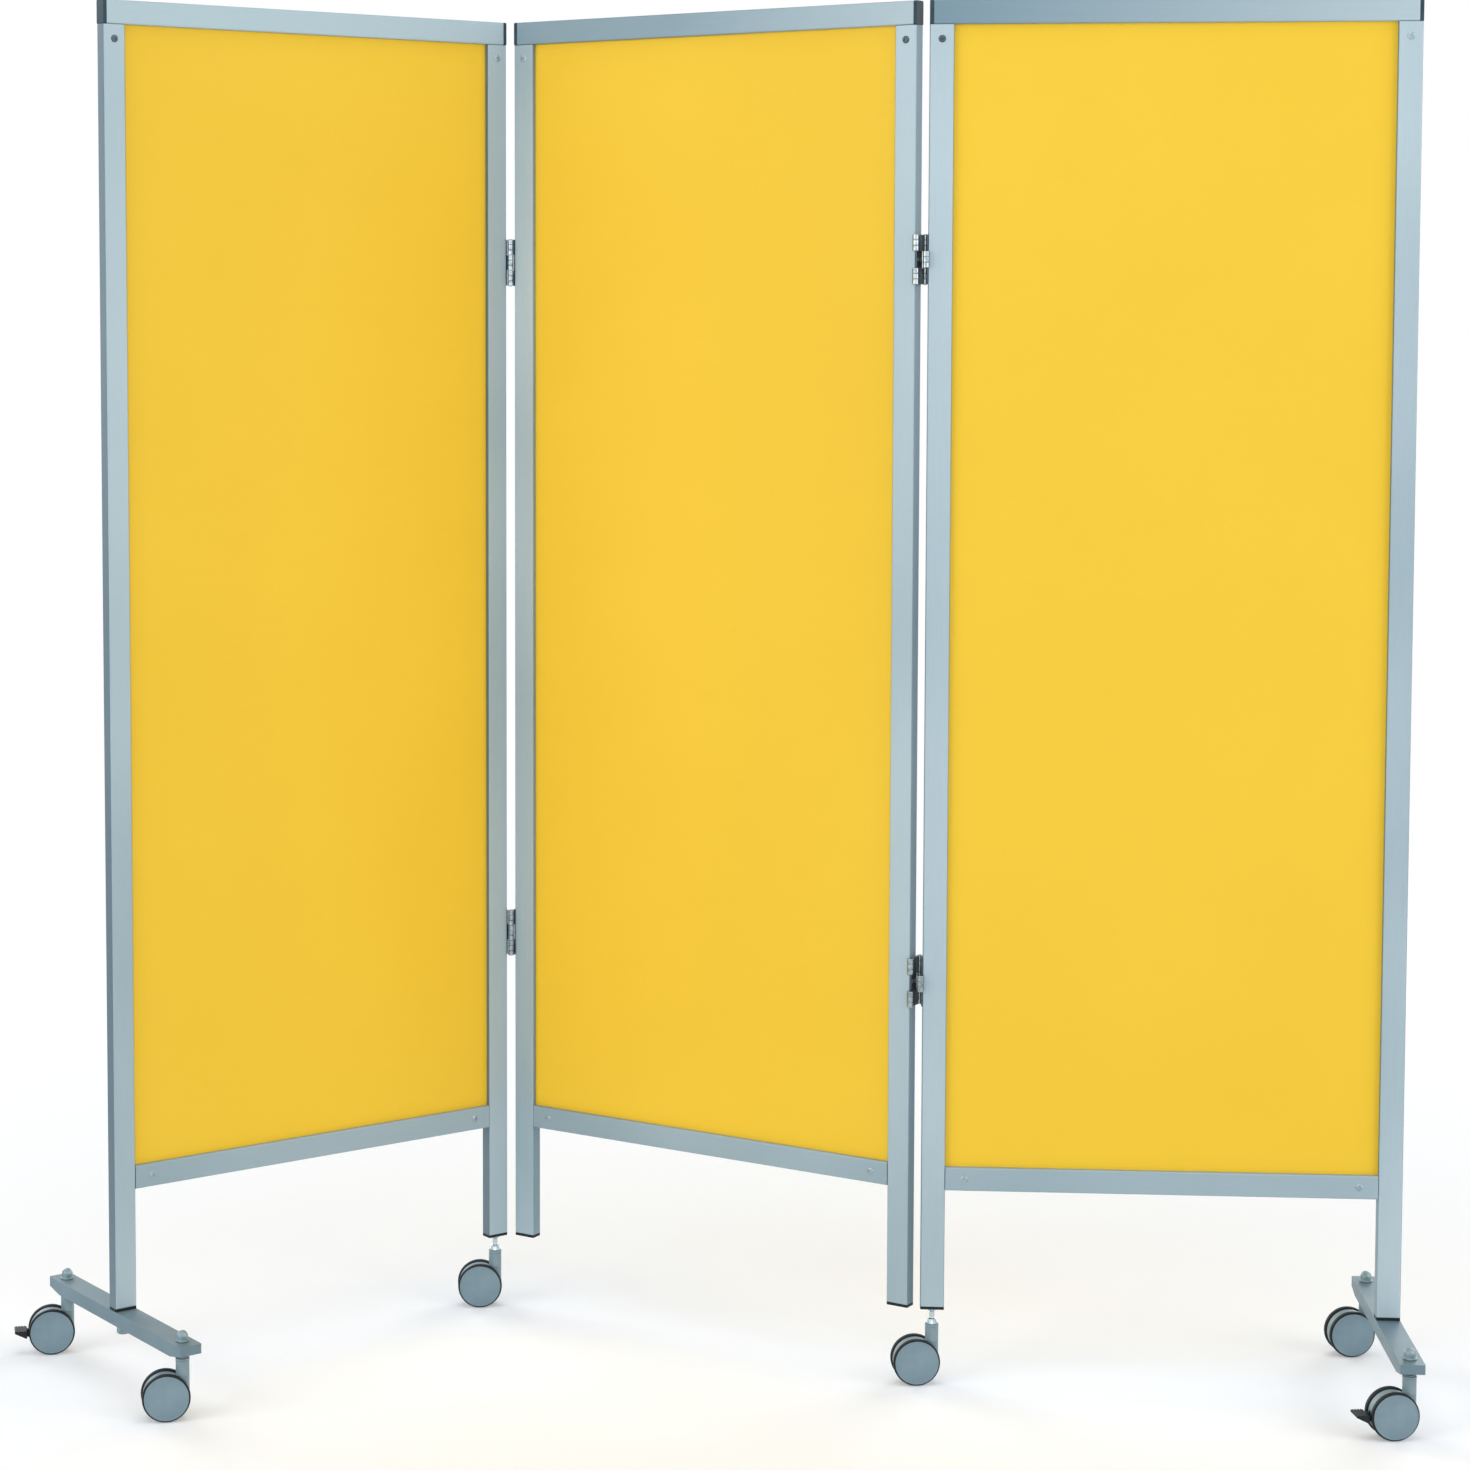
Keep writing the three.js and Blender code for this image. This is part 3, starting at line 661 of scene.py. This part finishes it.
def knuckleMeshes(low, high):
    sizes = hingeSizes
    radius = sizes["barrel"]
    groove = radius - sizes["ringDepth"]
    strap = boxOutline(sizes["plateStart"], sizes["strapEnd"], foldFront, foldBack)
    parts = [prismMesh("strap", strap, low, high, sizes["strapRound"], steps=1)]
    path = [(0, low), (radius, low, sizes["barrelRound"])]
    for i in range(sizes["rings"]):
        level = low + (high - low) * (i + 1) / (sizes["rings"] + 1)
        path += [
            (radius, level - sizes["ringWidth"] / 2, sizes["ringRound"]),
            (groove, level - sizes["grooveWidth"] / 2),
            (groove, level + sizes["grooveWidth"] / 2),
            (radius, level + sizes["ringWidth"] / 2, sizes["ringRound"]),
        ]
    path += [(radius, high, sizes["barrelRound"]), (0, high)]
    for y in (foldFront, foldBack):
        barrel = turnedMesh("barrel", rounded(path, closed=False, steps=3), sidesOf["barrel"])
        barrel.transform(shift(sizes["middle"], y, 0))
        parts.append(barrel)
    return parts


def leafMesh(name, kind, pinY):
    sizes = hingeSizes
    half = sizes["height"] / 2
    left = sizes["plateStart"]
    inset = sizes["plateInset"]
    outline = boxOutline(inset, panelSizes["depth"] - inset, -half, half, sizes["plateCorner"])
    plate = prismMesh(
        "plate", outline, left, left + sizes["plateThick"], sizes["plateRound"], steps=2)
    plate.transform(Matrix(((0, 0, 1, 0), (1, 0, 0, 0), (0, 1, 0, 0), (0, 0, 0, 1))))
    knuckle = (sizes["height"] - sizes["gap"] * (sizes["knuckles"] - 1)) / sizes["knuckles"]
    parts = []
    for i in range(sizes["knuckles"]):
        if (i % 2 == 0) == (kind == "outer"):
            low = -half + (knuckle + sizes["gap"]) * i
            parts += knuckleMeshes(low, low + knuckle)
    reach = half + sizes["pinHead"]
    pinPlace = shift(sizes["middle"], pinY, 0)
    if kind == "inner":
        pin = turnedMesh("pin", rounded([
            (0, -reach), (sizes["pin"], -reach, sizes["pinRound"]),
            (sizes["pin"], reach, sizes["pinRound"]), (0, reach),
        ], closed=False, steps=3), sidesOf["pin"])
        pin.transform(pinPlace)
        return combined(name, plate, [*parts, pin])
    bore = rodMesh("bore", sizes["pin"] + sizes["gap"], -reach, reach, sidesOf["pin"])
    bore.transform(pinPlace)
    return combined(name, combined(name, plate, parts), [bore], "DIFFERENCE")


def mirroredMesh(mesh):
    builder = bmesh.new()
    builder.from_mesh(mesh)
    bmesh.ops.scale(builder, vec=(-1, 1, 1), verts=builder.verts)
    bmesh.ops.reverse_faces(builder, faces=builder.faces)
    return meshFrom(mesh.name, builder)


def leafScrews(name, kind):
    sizes = hingeSizes
    screw = screwMesh(hingeScrew, name)
    facingOut = Matrix.Rotation(math.radians(90), 4, "Z")  # -y to +x
    surface = sizes["plateStart"] + sizes["plateThick"]
    heights = (0,) if kind == "outer" else (-sizes["screwRise"], sizes["screwRise"])
    spots = [
        shift(surface, panelSizes["depth"] * share, height) @ facingOut
        for height in heights for share in sizes["screwShares"]
    ]
    return gathered(name, [screw] * len(spots), spots)


# Plates and straps take the dark finish, painted shade of the gap between the posts; the barrels
# keep the polished one
def shadeLeafStraps(mesh):
    mesh.materials.append(hingeLeafSteel)
    reach = (hingeSizes["barrel"] + hingeSizes["polishReach"]) * mm
    for face in mesh.polygons:
        aside = abs(face.center.x) - hingeSizes["middle"] * mm
        gaps = [math.hypot(aside, face.center.y - y * mm) for y in (foldFront, foldBack)]
        face.material_index = 1 if min(gaps) > reach else 0


for pair, leaves in hingeKinds.items():
    pinY = foldFront if pair == "left" else foldBack
    for letter, (side, kind, hand) in leaves.items():
        leaf = leafMesh(f"{pair}_leaf_{letter}", kind, pinY)
        screws = leafScrews(f"{pair}_leaf_screws_{letter}", kind)
        if hand == "left":
            leaf = mirroredMesh(leaf)
            screws = mirroredMesh(screws)
        dressed(leaf, hingeSteel)
        shadeLeafStraps(leaf)
        dressed(screws, screwSteel)
        edgeX = panelSizes["width"] if hand == "right" else 0
        panel = f"{side}_panel"
        for levelName, level in hingeSizes["levels"].items():
            place = panelPlaces[side] @ shift(edgeX, 0, level)
            label = f"{pair}_{levelName}_hinge"
            addPiece(f"{label}_plate_{letter}", leaf, place, panel,
                     [f"{label}_leaf_{letter}"])
            addPiece(f"{label}_screws_{letter}", screws, place, panel)
print("hinges fitted")


# Bolt under each foot: a washer and a hexagon head with its corners turned off
boltSizes = {
    "shank": 4, "shankTop": 114.8, "shankRound": 0.8,
    "washer": 8.5, "washerHeight": 1.8, "washerRound": 0.4, "top": 78.4,
    "head": 8.2, "headHeight": 11, "headInto": 0.3,
    "coneFoot": 0.84, "coneTop": 1.02, "coneHeight": 1.6, "coneAbove": 0.5,
}


def footBoltMesh():
    sizes = boltSizes
    washerFoot = sizes["top"] - sizes["washerHeight"]
    headFoot = washerFoot - sizes["headHeight"]
    shank = turnedMesh("bolt", rounded([
        (0, washerFoot), (sizes["washer"], washerFoot, sizes["washerRound"]),
        (sizes["washer"], sizes["top"], sizes["washerRound"]), (sizes["shank"], sizes["top"]),
        (sizes["shank"], sizes["shankTop"], sizes["shankRound"]), (0, sizes["shankTop"]),
    ], closed=False), sidesOf["barrel"])
    head = sizes["head"]
    nut = prismMesh("head", hexagon(head, 30), headFoot, washerFoot + sizes["headInto"])
    cone = turnedMesh("chamfer", [
        (0, headFoot), (head * sizes["coneFoot"], headFoot),
        (head * sizes["coneTop"], headFoot + sizes["coneHeight"]),
        (head * sizes["coneTop"], washerFoot + sizes["coneAbove"]),
        (0, washerFoot + sizes["coneAbove"]),
    ])
    return combined("foot_bolt", shank, [combined("head", nut, [cone], "INTERSECT")])


zincFinish = makeFinish("zincPlate", finishes["zinc"])
footBolt = dressed(footBoltMesh(), zincFinish)
footX = {"left": postX, "right": panelSizes["width"] - postX}
for side, x in footX.items():
    place = panelPlaces[side] @ shift(x, panelSizes["depth"] / 2, 0)
    addPiece(f"{side}_foot_bolt_head", footBolt, place, f"{side}_panel",
             [f"{side}_foot_bolt"])
print("foot bolts fitted")


# Castors, drawn with the stem on the z axis and the wheels trailing towards -x
castorSizes = {"trail": 21, "wheel": 30, "clearance": 0.3, "boreHalf": 12}
hoodPlastic = makeFinish("hoodPlastic", finishes["hood"])
coverPlastic = makeFinish("wheelCoverPlastic", finishes["wheelCover"])
tyreRubber = makeFinish("tyreRubber", finishes["tyre"])
chrome = makeFinish("brightSteel", finishes["chrome"])


# A hole through the whole castor, from side to side
def crossHole(name, radius, x, z, sides):
    hole = rodMesh(name, radius, -castorSizes["boreHalf"], castorSizes["boreHalf"], sides)
    hole.transform(shift(x, 0, z) @ lyingAcross)
    return hole


tyreSizes = {
    "near": 7.5, "far": 14.7, "inside": 25.2, "bead": 0.4, "flat": 0.6, "edgeRound": 0.5,
    "shoulder": 1.9, "shoulderNear": 0.6, "shoulderFar": 0.5, "crown": 0.25,
}


def tyreMesh():
    sizes = tyreSizes
    near, far, shoulder = sizes["near"], sizes["far"], sizes["shoulder"]
    radius = castorSizes["wheel"]
    wall = radius - shoulder - sizes["flat"]
    ring = rounded([
        (sizes["inside"], near + sizes["bead"]), (wall, near, sizes["edgeRound"]),
        (radius - sizes["crown"], near + sizes["shoulderNear"], shoulder),
        (radius, (near + far) / 2),
        (radius - sizes["crown"], far - sizes["shoulderFar"], shoulder),
        (wall, far, sizes["edgeRound"]), (sizes["inside"], far),
    ], steps=5)
    mesh = gathered("tyres", [
        turnedMesh("tyre", ring, sidesOf["wheel"]),
        turnedMesh("tyre", [(r, -h) for r, h in ring], sidesOf["wheel"]),
    ])
    mesh.transform(lyingAcross)
    return dressed(mesh, tyreRubber, roundCrease)


coverSizes = {
    "axle": 3, "inset": 0.5, "hubStep": 0.2, "hubShare": 0.4, "wellWidth": 2, "wellDepth": 1,
    "wellRound": 0.5, "fit": 0.05, "seatGap": 0.02,
    "rim": 27.7, "rimHeight": 1.3, "rimWidth": 1.5, "rimRound": 0.8, "edgeRound": 0.3,
    "dish": 0.45, "dishSlope": 0.3,
    "dome": 0.5, "domeShare": 0.6, "domeRise": 0.7, "domeRound": 20,
}


def coverMesh():
    sizes = coverSizes
    near = tyreSizes["near"] + sizes["inset"]
    inside = tyreSizes["inside"]
    lining = inside - sizes["fit"]
    seat = tyreSizes["far"] + sizes["seatGap"]
    face = seat + sizes["rimHeight"]
    floor = face - sizes["dish"]
    ringInside = sizes["rim"] - sizes["rimWidth"]
    edgeRound, dome = sizes["edgeRound"], sizes["dome"]
    half = rounded([
        (sizes["axle"], 0), (sizes["axle"], near - sizes["hubStep"]),
        (inside * sizes["hubShare"], near),
        (inside - sizes["wellWidth"], near, sizes["wellRound"]),
        (lining, near + sizes["wellDepth"], sizes["wellRound"]), (lining, seat),
        (sizes["rim"], seat, edgeRound), (sizes["rim"], face, sizes["rimRound"]),
        (ringInside, face, edgeRound), (ringInside - sizes["dishSlope"], floor, edgeRound),
        (ringInside * sizes["domeShare"], floor + dome * sizes["domeRise"], sizes["domeRound"]),
        (0, floor + dome),
    ], closed=False, steps=3)
    path = [(r, -h) for r, h in reversed(half)] + half[1:]
    mesh = turnedMesh("covers", path, sidesOf["wheel"])
    mesh.transform(lyingAcross)
    return dressed(mesh, coverPlastic, roundCrease)


stemSizes = {
    "radius": 4, "depth": 14, "tipRound": 0.6, "softRound": 0.4, "fineRound": 0.2,
    "washer": 7.2, "washerTop": 78.4, "washerRound": 0.3, "footTop": 97,
    "flange": 8.2, "flangeHeight": 1.8, "flangeRound": 0.7,
    "nut": 7.1, "nutSide": 4.6, "nutRound": 0.5,
    "bare": 3.4, "sleeve": 6.5, "sleeveTop": 82.4, "sleeveTip": 5.4,
    "ring": 5.8, "ringHeight": 1.1,
    "waistFoot": 1.4, "waistFootRound": 1.2, "waistTop": 1, "waistTopRound": 1.5,
    "flare": 6.6, "flareHeight": 3.2, "flareTop": 96.7, "flareEdge": 0.9,
    "top": 117.8, "topRound": 0.8,
}
hoodSizes = {
    "width": 14, "radius": 28, "skirt": 15, "webRound": 1.6,
    "chinFront": 3.2, "chinRound": 2.5, "chestHeight": 27, "chestRound": 7,
    "trimBack": -60, "trimLow": 5, "trimHigh": 70,  # of the block that rounds the front
    "neck": 8.5, "neckTop": 76.6, "neckInto": 0.2, "neckTopRound": 0.7,
    "collar": 2.6, "collarProud": 0.2, "collarRound": 0.2,
    "grooveDepth": 0.45, "grooveFoot": 0.5, "grooveTop": 0.3,
}
pedalSizes = {
    "pivotX": -36, "pivotZ": 28, "hub": 4.2, "pin": 1.8, "pinHalf": 4.8,
    "arm": 6, "armRound": 2, "armInto": 1.5, "armTop": 0.4, "armFoot": 0.8, "armSag": 0.3,
    "armEdge": 0.5, "top": 33, "depth": 11, "width": 24, "tip": 3,
    "padStart": -53, "padEnd": -69, "padRound": 1.2, "padStartRound": 0.8,
    "padEndRound": 0.6, "padEdge": 0.9,
    "ribs": 4, "ribHeight": 0.7, "ribWidth": 1.7, "ribLead": 0.6, "ribSlope": 0.15,
    "ribFootRound": 0.15, "ribTopRound": 0.3,
    "pocketGap": 0.6, "pocketBelow": 13, "pocketAbove": 7,
}


# The cheek between the wheels, rounded at its front to the neck
def hoodWeb(backArc):
    sizes = hoodSizes
    half = sizes["width"] / 2
    neck = sizes["neck"]
    outline = rounded([
        *reversed(backArc), (sizes["chinFront"], sizes["skirt"], sizes["chinRound"]),
        (neck, sizes["chestHeight"], sizes["chestRound"]), (neck, backArc[-1][1]),
    ], steps=6)
    web = prismMesh("web", outline, -half, half, sizes["webRound"], steps=4)
    web.transform(sideOutline)
    turn = math.degrees(math.acos(half / neck))
    back = sizes["trimBack"]
    roundFront = prismMesh("front", [
        (back, half), (back, -half), *arc(0, 0, neck, turn - 90, 90 - turn, steps=24),
    ], sizes["trimLow"], sizes["trimHigh"])
    return combined("web", web, [roundFront], "INTERSECT")


def hoodNeck(foot):
    sizes = hoodSizes
    neck, top = sizes["neck"], sizes["neckTop"]
    collarFoot = top - sizes["collar"]
    groove = neck - sizes["grooveDepth"]
    proud = neck + sizes["collarProud"]
    return turnedMesh("neck", rounded([
        (0, foot), (neck, foot), (neck, collarFoot - sizes["grooveFoot"], sizes["collarRound"]),
        (groove, collarFoot - sizes["grooveTop"]), (groove, collarFoot),
        (proud, collarFoot, sizes["collarRound"]), (proud, top, sizes["neckTopRound"]),
        (0, top),
    ], closed=False), sidesOf["neck"])


# What is cut out of the hood: the stem bore, the axle hole and the room for a pedal
def hoodCuts(centreX, centreZ, braked):
    clearance = castorSizes["clearance"]
    top = hoodSizes["neckTop"]
    cuts = [
        rodMesh("bore", stemSizes["radius"] + clearance, top - stemSizes["depth"] - clearance,
                top + cutPast, sidesOf["screw"]),
        crossHole("axle", coverSizes["axle"] + clearance, centreX, centreZ, sidesOf["screw"]),
    ]
    if braked:
        sizes = pedalSizes
        half = sizes["arm"] / 2 + clearance
        pocket = prismMesh("pocket", boxOutline(
            centreX - castorSizes["wheel"], sizes["pivotX"] + sizes["hub"] + sizes["pocketGap"],
            sizes["pivotZ"] - sizes["pocketBelow"], sizes["pivotZ"] + sizes["pocketAbove"],
        ), -half, half)
        pocket.transform(sideOutline)
        cuts += [pocket, crossHole(
            "pin", sizes["pin"] + clearance, sizes["pivotX"], sizes["pivotZ"], sidesOf["pin"])]
    return cuts


def hoodMesh(braked):
    sizes = hoodSizes
    centreX, centreZ = -castorSizes["trail"], castorSizes["wheel"]
    radius = sizes["radius"]
    dip = math.degrees(math.asin((centreZ - sizes["skirt"]) / radius))
    meet = math.degrees(math.acos((castorSizes["trail"] - sizes["neck"]) / radius))
    backArc = arc(centreX, centreZ, radius, 180 + dip, meet, steps=40)
    web = hoodWeb(backArc)
    neck = hoodNeck(backArc[-1][1] - sizes["neckInto"])
    body = combined("hood", web, [neck])
    cuts = hoodCuts(centreX, centreZ, braked)
    return dressed(combined("hood", body, cuts, "DIFFERENCE"), hoodPlastic)


# The end of a stem that sits in the neck, and the height at which the stem gets wider
def stemTip():
    low = hoodSizes["neckTop"] - stemSizes["depth"]
    rest = hoodSizes["neckTop"] + castorSizes["clearance"]
    radius = stemSizes["radius"]
    return rest, [(0, low), (radius, low, stemSizes["tipRound"]), (radius, rest)]


def footStemMesh():
    sizes = stemSizes
    rest, tip = stemTip()
    return dressed(turnedMesh("foot_stem", rounded([
        *tip, (sizes["washer"], rest, sizes["washerRound"]),
        (sizes["washer"], sizes["washerTop"], sizes["washerRound"]),
        (sizes["radius"], sizes["washerTop"]),
        (sizes["radius"], sizes["footTop"]), (0, sizes["footTop"]),
    ], closed=False), sidesOf["barrel"]), zincFinish)


def capNutMesh():
    sizes = stemSizes
    foot, flange, nut = sizes["footTop"], sizes["flange"], sizes["nut"]
    flangeTop = foot + sizes["flangeHeight"]
    sideTop = flangeTop + sizes["nutSide"]
    path = rounded([
        (0, foot), (flange, foot, sizes["washerRound"]),
        (flange, flangeTop, sizes["flangeRound"]), (nut, flangeTop, sizes["nutRound"]),
        (nut, sideTop),
    ], closed=False)
    path += [*arc(0, sideTop, nut, 0, 90, steps=12)[1:-1], (0, sideTop + nut)]
    return dressed(turnedMesh("cap_nut", path), zincFinish, roundCrease)


def postStemMesh():
    sizes = stemSizes
    soft, fine = sizes["softRound"], sizes["fineRound"]
    ring, bare, flare = sizes["ring"], sizes["bare"], sizes["flare"]
    sleeveTop, flareTop = sizes["sleeveTop"], sizes["flareTop"]
    ringTop = sleeveTop + sizes["ringHeight"]
    waistTop = flareTop - sizes["flareHeight"] - sizes["waistTop"]
    rest, tip = stemTip()
    return dressed(turnedMesh("post_stem", rounded([
        *tip, (sizes["sleeve"], rest, soft), (sizes["sleeveTip"], sleeveTop, soft),
        (ring, sleeveTop, fine), (ring, ringTop, soft),
        (bare, ringTop + sizes["waistFoot"], sizes["waistFootRound"]),
        (bare, waistTop, sizes["waistTopRound"]),
        (flare, flareTop - sizes["flareEdge"], soft), (flare, flareTop, fine),
        (sizes["radius"], flareTop), (sizes["radius"], sizes["top"], sizes["topRound"]),
        (0, sizes["top"]),
    ], closed=False)), chrome)


def pedalArm(low):
    sizes = pedalSizes
    rim = -castorSizes["trail"] - castorSizes["wheel"]
    half = sizes["arm"] / 2
    end = sizes["padStart"] - sizes["armInto"]
    arm = prismMesh("arm", rounded([
        (sizes["pivotX"], sizes["pivotZ"] - sizes["hub"]),
        (sizes["pivotX"], sizes["pivotZ"] + sizes["hub"]),
        (rim, sizes["top"], sizes["armRound"]), (end, sizes["top"] - sizes["armTop"]),
        (end, low + sizes["armFoot"]), (rim, low + sizes["armSag"], sizes["armRound"]),
    ]), -half, half, sizes["armEdge"], steps=2)
    arm.transform(sideOutline)
    return arm


def pedalPad(low):
    sizes = pedalSizes
    top, start, end = sizes["top"], sizes["padStart"], sizes["padEnd"]
    valley = top - sizes["ribHeight"]
    span = (start - end) / (sizes["ribs"] + 0.5)
    ribs = []
    for i in range(sizes["ribs"]):
        near = start - span * (i + sizes["ribLead"])
        far = near - sizes["ribWidth"]
        ribs += [
            (near, valley, sizes["ribFootRound"]),
            (near - sizes["ribSlope"], top, sizes["ribTopRound"]),
            (far, top, sizes["ribTopRound"]),
            (far - sizes["ribSlope"], valley, sizes["ribFootRound"]),
        ]
    half = sizes["width"] / 2
    pad = prismMesh("pad", rounded([
        (start, low, sizes["padRound"]), (start, valley, sizes["padStartRound"]), *ribs,
        (end, valley, sizes["padEndRound"]), (end, top - sizes["tip"], sizes["padRound"]),
    ], steps=3), -half, half, sizes["padEdge"])
    pad.transform(sideOutline)
    return pad


def pedalMesh():
    sizes = pedalSizes
    low = sizes["top"] - sizes["depth"]
    half = sizes["arm"] / 2
    hub = rodMesh("hub", sizes["hub"], -half, half, sidesOf["screw"])
    pin = rodMesh("pin", sizes["pin"], -sizes["pinHalf"], sizes["pinHalf"], sidesOf["pin"])
    for part in (hub, pin):
        part.transform(shift(sizes["pivotX"], 0, sizes["pivotZ"]) @ lyingAcross)
    return dressed(combined("pedal", pedalPad(low), [pedalArm(low), hub, pin]), blackPlastic)


def castorPlace(name):
    stand = joints[f"{name}_swivel"]["pos_m"]
    axle = joints[f"{name}_roll"]["axis"]
    turn = Matrix.Rotation(math.atan2(-axle[0], axle[1]), 4, "Z")
    return Matrix.Translation((stand[0], stand[1], 0)) @ turn


castorNames = (
    "left_front", "left_back", "left_hinge", "right_hinge", "right_back", "right_front")
brakedCastors = ("left_back", "right_front")
tyres = tyreMesh()
covers = coverMesh()
hoods = {False: hoodMesh(False), True: hoodMesh(True)}
footStem = footStemMesh()
capNut = capNutMesh()
postStem = postStemMesh()
brakePedal = pedalMesh()
axlePlace = shift(-castorSizes["trail"], 0, castorSizes["wheel"])

for name in castorNames:
    place = castorPlace(name)
    rolling = place @ axlePlace
    side, spot = name.split("_")
    panel = f"{side}_panel"
    stem = postStem if spot == "hinge" else footStem
    braked = name in brakedCastors
    pieces = [
        ("hood", hoods[braked], place, f"{name}_hood", "hood_plastic", "hood"),
        ("tyres", tyres, rolling, f"{name}_wheels", "tyre_rubber", "wheels"),
        ("wheel_covers", covers, rolling, f"{name}_wheels", "wheel_plastic", "wheels"),
        ("stem", stem, place, panel, "bright_steel", "stem"),
    ]
    if stem is footStem:
        pieces.append(("cap_nut", capNut, place, panel, "foot_paint", "stem"))
    if braked:
        pieces.append(
            ("brake_pedal", brakePedal, place, f"{name}_pedal", "black_plastic", "pedal"))
    for label, mesh, where, body, slotName, source in pieces:
        addPiece(f"{name}_{label}", mesh, where, body, [f"{name}_castor_{source}"])
print("castors built")


# Studio: a pale floor, soft lamps, and a world that is white to the eye and dim as a lamp
studio = {
    "floorRings": (3, 8, 30), "floorSides": 64,  # radii in metres
    "floorColour": (238, 241, 245), "floorRoughness": 0.8, "floorSpecular": 0.1,
    "speckleScale": 40, "speckleTone": 0.985,  # of the floor's colour
    "floorLift": 0.16,
    "fadeStart": 1.6, "fadeEnd": 4.5,  # metres from the middle, lit floor to plain white
    "ambient": 0.27, "ambientColour": (0.94, 0.97, 1.0, 1), "white": (1, 1, 1, 1),
}
# Each lamp aims at a height over the middle of the floor
lamps = {
    "left": {"place": (-3.9, -2.5, 2.1), "aim": 0.8, "size": 3.2, "power": 85},
    "right": {"place": (4.0, -2.5, 2.1), "aim": 0.8, "size": 3.2, "power": 79},
    "front": {"place": (-0.3, -4.9, 2.1), "aim": 0.8, "size": 4.0, "power": 56},
    "above": {"place": (0, -0.6, 4.6), "aim": 0, "size": 3.6, "power": 50},
    "backLeft": {"place": (-3.4, 3.9, 2.4), "aim": 0.9, "size": 3.2, "power": 108},
    "backRight": {"place": (3.6, 3.9, 2.4), "aim": 0.9, "size": 3.2, "power": 108},
}


# 1 for the rays that see a white backdrop, 0 for the ones that carry light
def addSeenRays(tree):
    path = addNode(tree, "ShaderNodeLightPath")
    seen = path.outputs["Is Camera Ray"]
    for name in ("Is Glossy Ray", "Is Transmission Ray"):
        either = addNode(tree, "ShaderNodeMath", operation="MAXIMUM")
        tree.links.new(seen, either.inputs[0])
        tree.links.new(path.outputs[name], either.inputs[1])
        seen = either.outputs["Value"]
    return seen


# The second shader where the share is 1, the first where it is 0
def addBlend(tree, share, first, second, output):
    mix = addNode(tree, "ShaderNodeMixShader")
    for i, source in enumerate((share, first, second)):
        tree.links.new(source, mix.inputs[i])
    tree.links.new(mix.outputs["Shader"], tree.nodes[output].inputs["Surface"])


def floorMesh():
    builder = bmesh.new()
    sides = studio["floorSides"]
    centre = builder.verts.new((0, 0, 0))
    rings = [addRing(builder, radius, 0, sides, 1) for radius in studio["floorRings"]]
    for i in range(sides):
        j = (i + 1) % sides
        builder.faces.new((centre, rings[0][i], rings[0][j]))
        for inner, outer in zip(rings, rings[1:]):
            builder.faces.new((inner[i], outer[i], outer[j], inner[j]))
    return meshFrom("floor", builder)


def makeFloorPaint():
    material = bpy.data.materials.new("floor")
    material.use_nodes = True
    tree = material.node_tree
    link = tree.links.new
    shader = tree.nodes["Principled BSDF"]
    setInputs(shader, {
        "Roughness": studio["floorRoughness"], "Specular IOR Level": studio["floorSpecular"],
        "Emission Color": studio["white"],
    })
    colour = paint(studio["floorColour"])
    dark = tuple(value * studio["speckleTone"] for value in colour[:3]) + (1,)
    speckle = addRamp(tree, addNoise(tree, studio["speckleScale"]), dark, colour)
    link(speckle, shader.inputs["Base Color"])
    seen = addSeenRays(tree)
    lift = addNode(tree, "ShaderNodeMath", {1: studio["floorLift"]}, operation="MULTIPLY")
    link(seen, lift.inputs[0])
    link(lift.outputs["Value"], shader.inputs["Emission Strength"])
    place = addNode(tree, "ShaderNodeTexCoord")
    distance = addNode(tree, "ShaderNodeVectorMath", operation="LENGTH")
    fade = addNode(tree, "ShaderNodeMapRange", {
        "From Min": studio["fadeStart"], "From Max": studio["fadeEnd"],
    }, interpolation_type="SMOOTHSTEP")
    share = addNode(tree, "ShaderNodeMath", operation="MULTIPLY")
    link(place.outputs["Object"], distance.inputs[0])
    link(distance.outputs["Value"], fade.inputs["Value"])
    link(fade.outputs["Result"], share.inputs[0])
    link(seen, share.inputs[1])
    white = addNode(tree, "ShaderNodeEmission")
    addBlend(tree, share.outputs["Value"], shader.outputs["BSDF"], white.outputs["Emission"],
             "Material Output")
    return material


def makeFloor():
    floor = bpy.data.objects.new("floor", floorMesh())
    scene.collection.objects.link(floor)
    floor.data.materials.append(makeFloorPaint())


def makeWorld():
    world = bpy.data.worlds.new("studio")
    scene.world = world
    world.use_nodes = True
    tree = world.node_tree
    ambient = tree.nodes["Background"]
    setInputs(ambient, {"Color": studio["ambientColour"], "Strength": studio["ambient"]})
    white = addNode(tree, "ShaderNodeBackground", {"Color": studio["white"]})
    addBlend(tree, addSeenRays(tree), ambient.outputs["Background"],
             white.outputs["Background"], "World Output")


def makeLamps():
    for name, facts in lamps.items():
        lamp = bpy.data.lights.new(name, "AREA")
        lamp.shape = "SQUARE"
        lamp.size = facts["size"]
        lamp.energy = facts["power"]
        holder = bpy.data.objects.new(name, lamp)
        scene.collection.objects.link(holder)
        holder.location = facts["place"]
        aim = Vector((0, 0, facts["aim"])) - Vector(facts["place"])
        holder.rotation_euler = aim.to_track_quat("-Z", "Y").to_euler()
        holder.visible_camera = False


makeFloor()
makeWorld()
makeLamps()
print("studio lit")

bpy.context.view_layer.update()
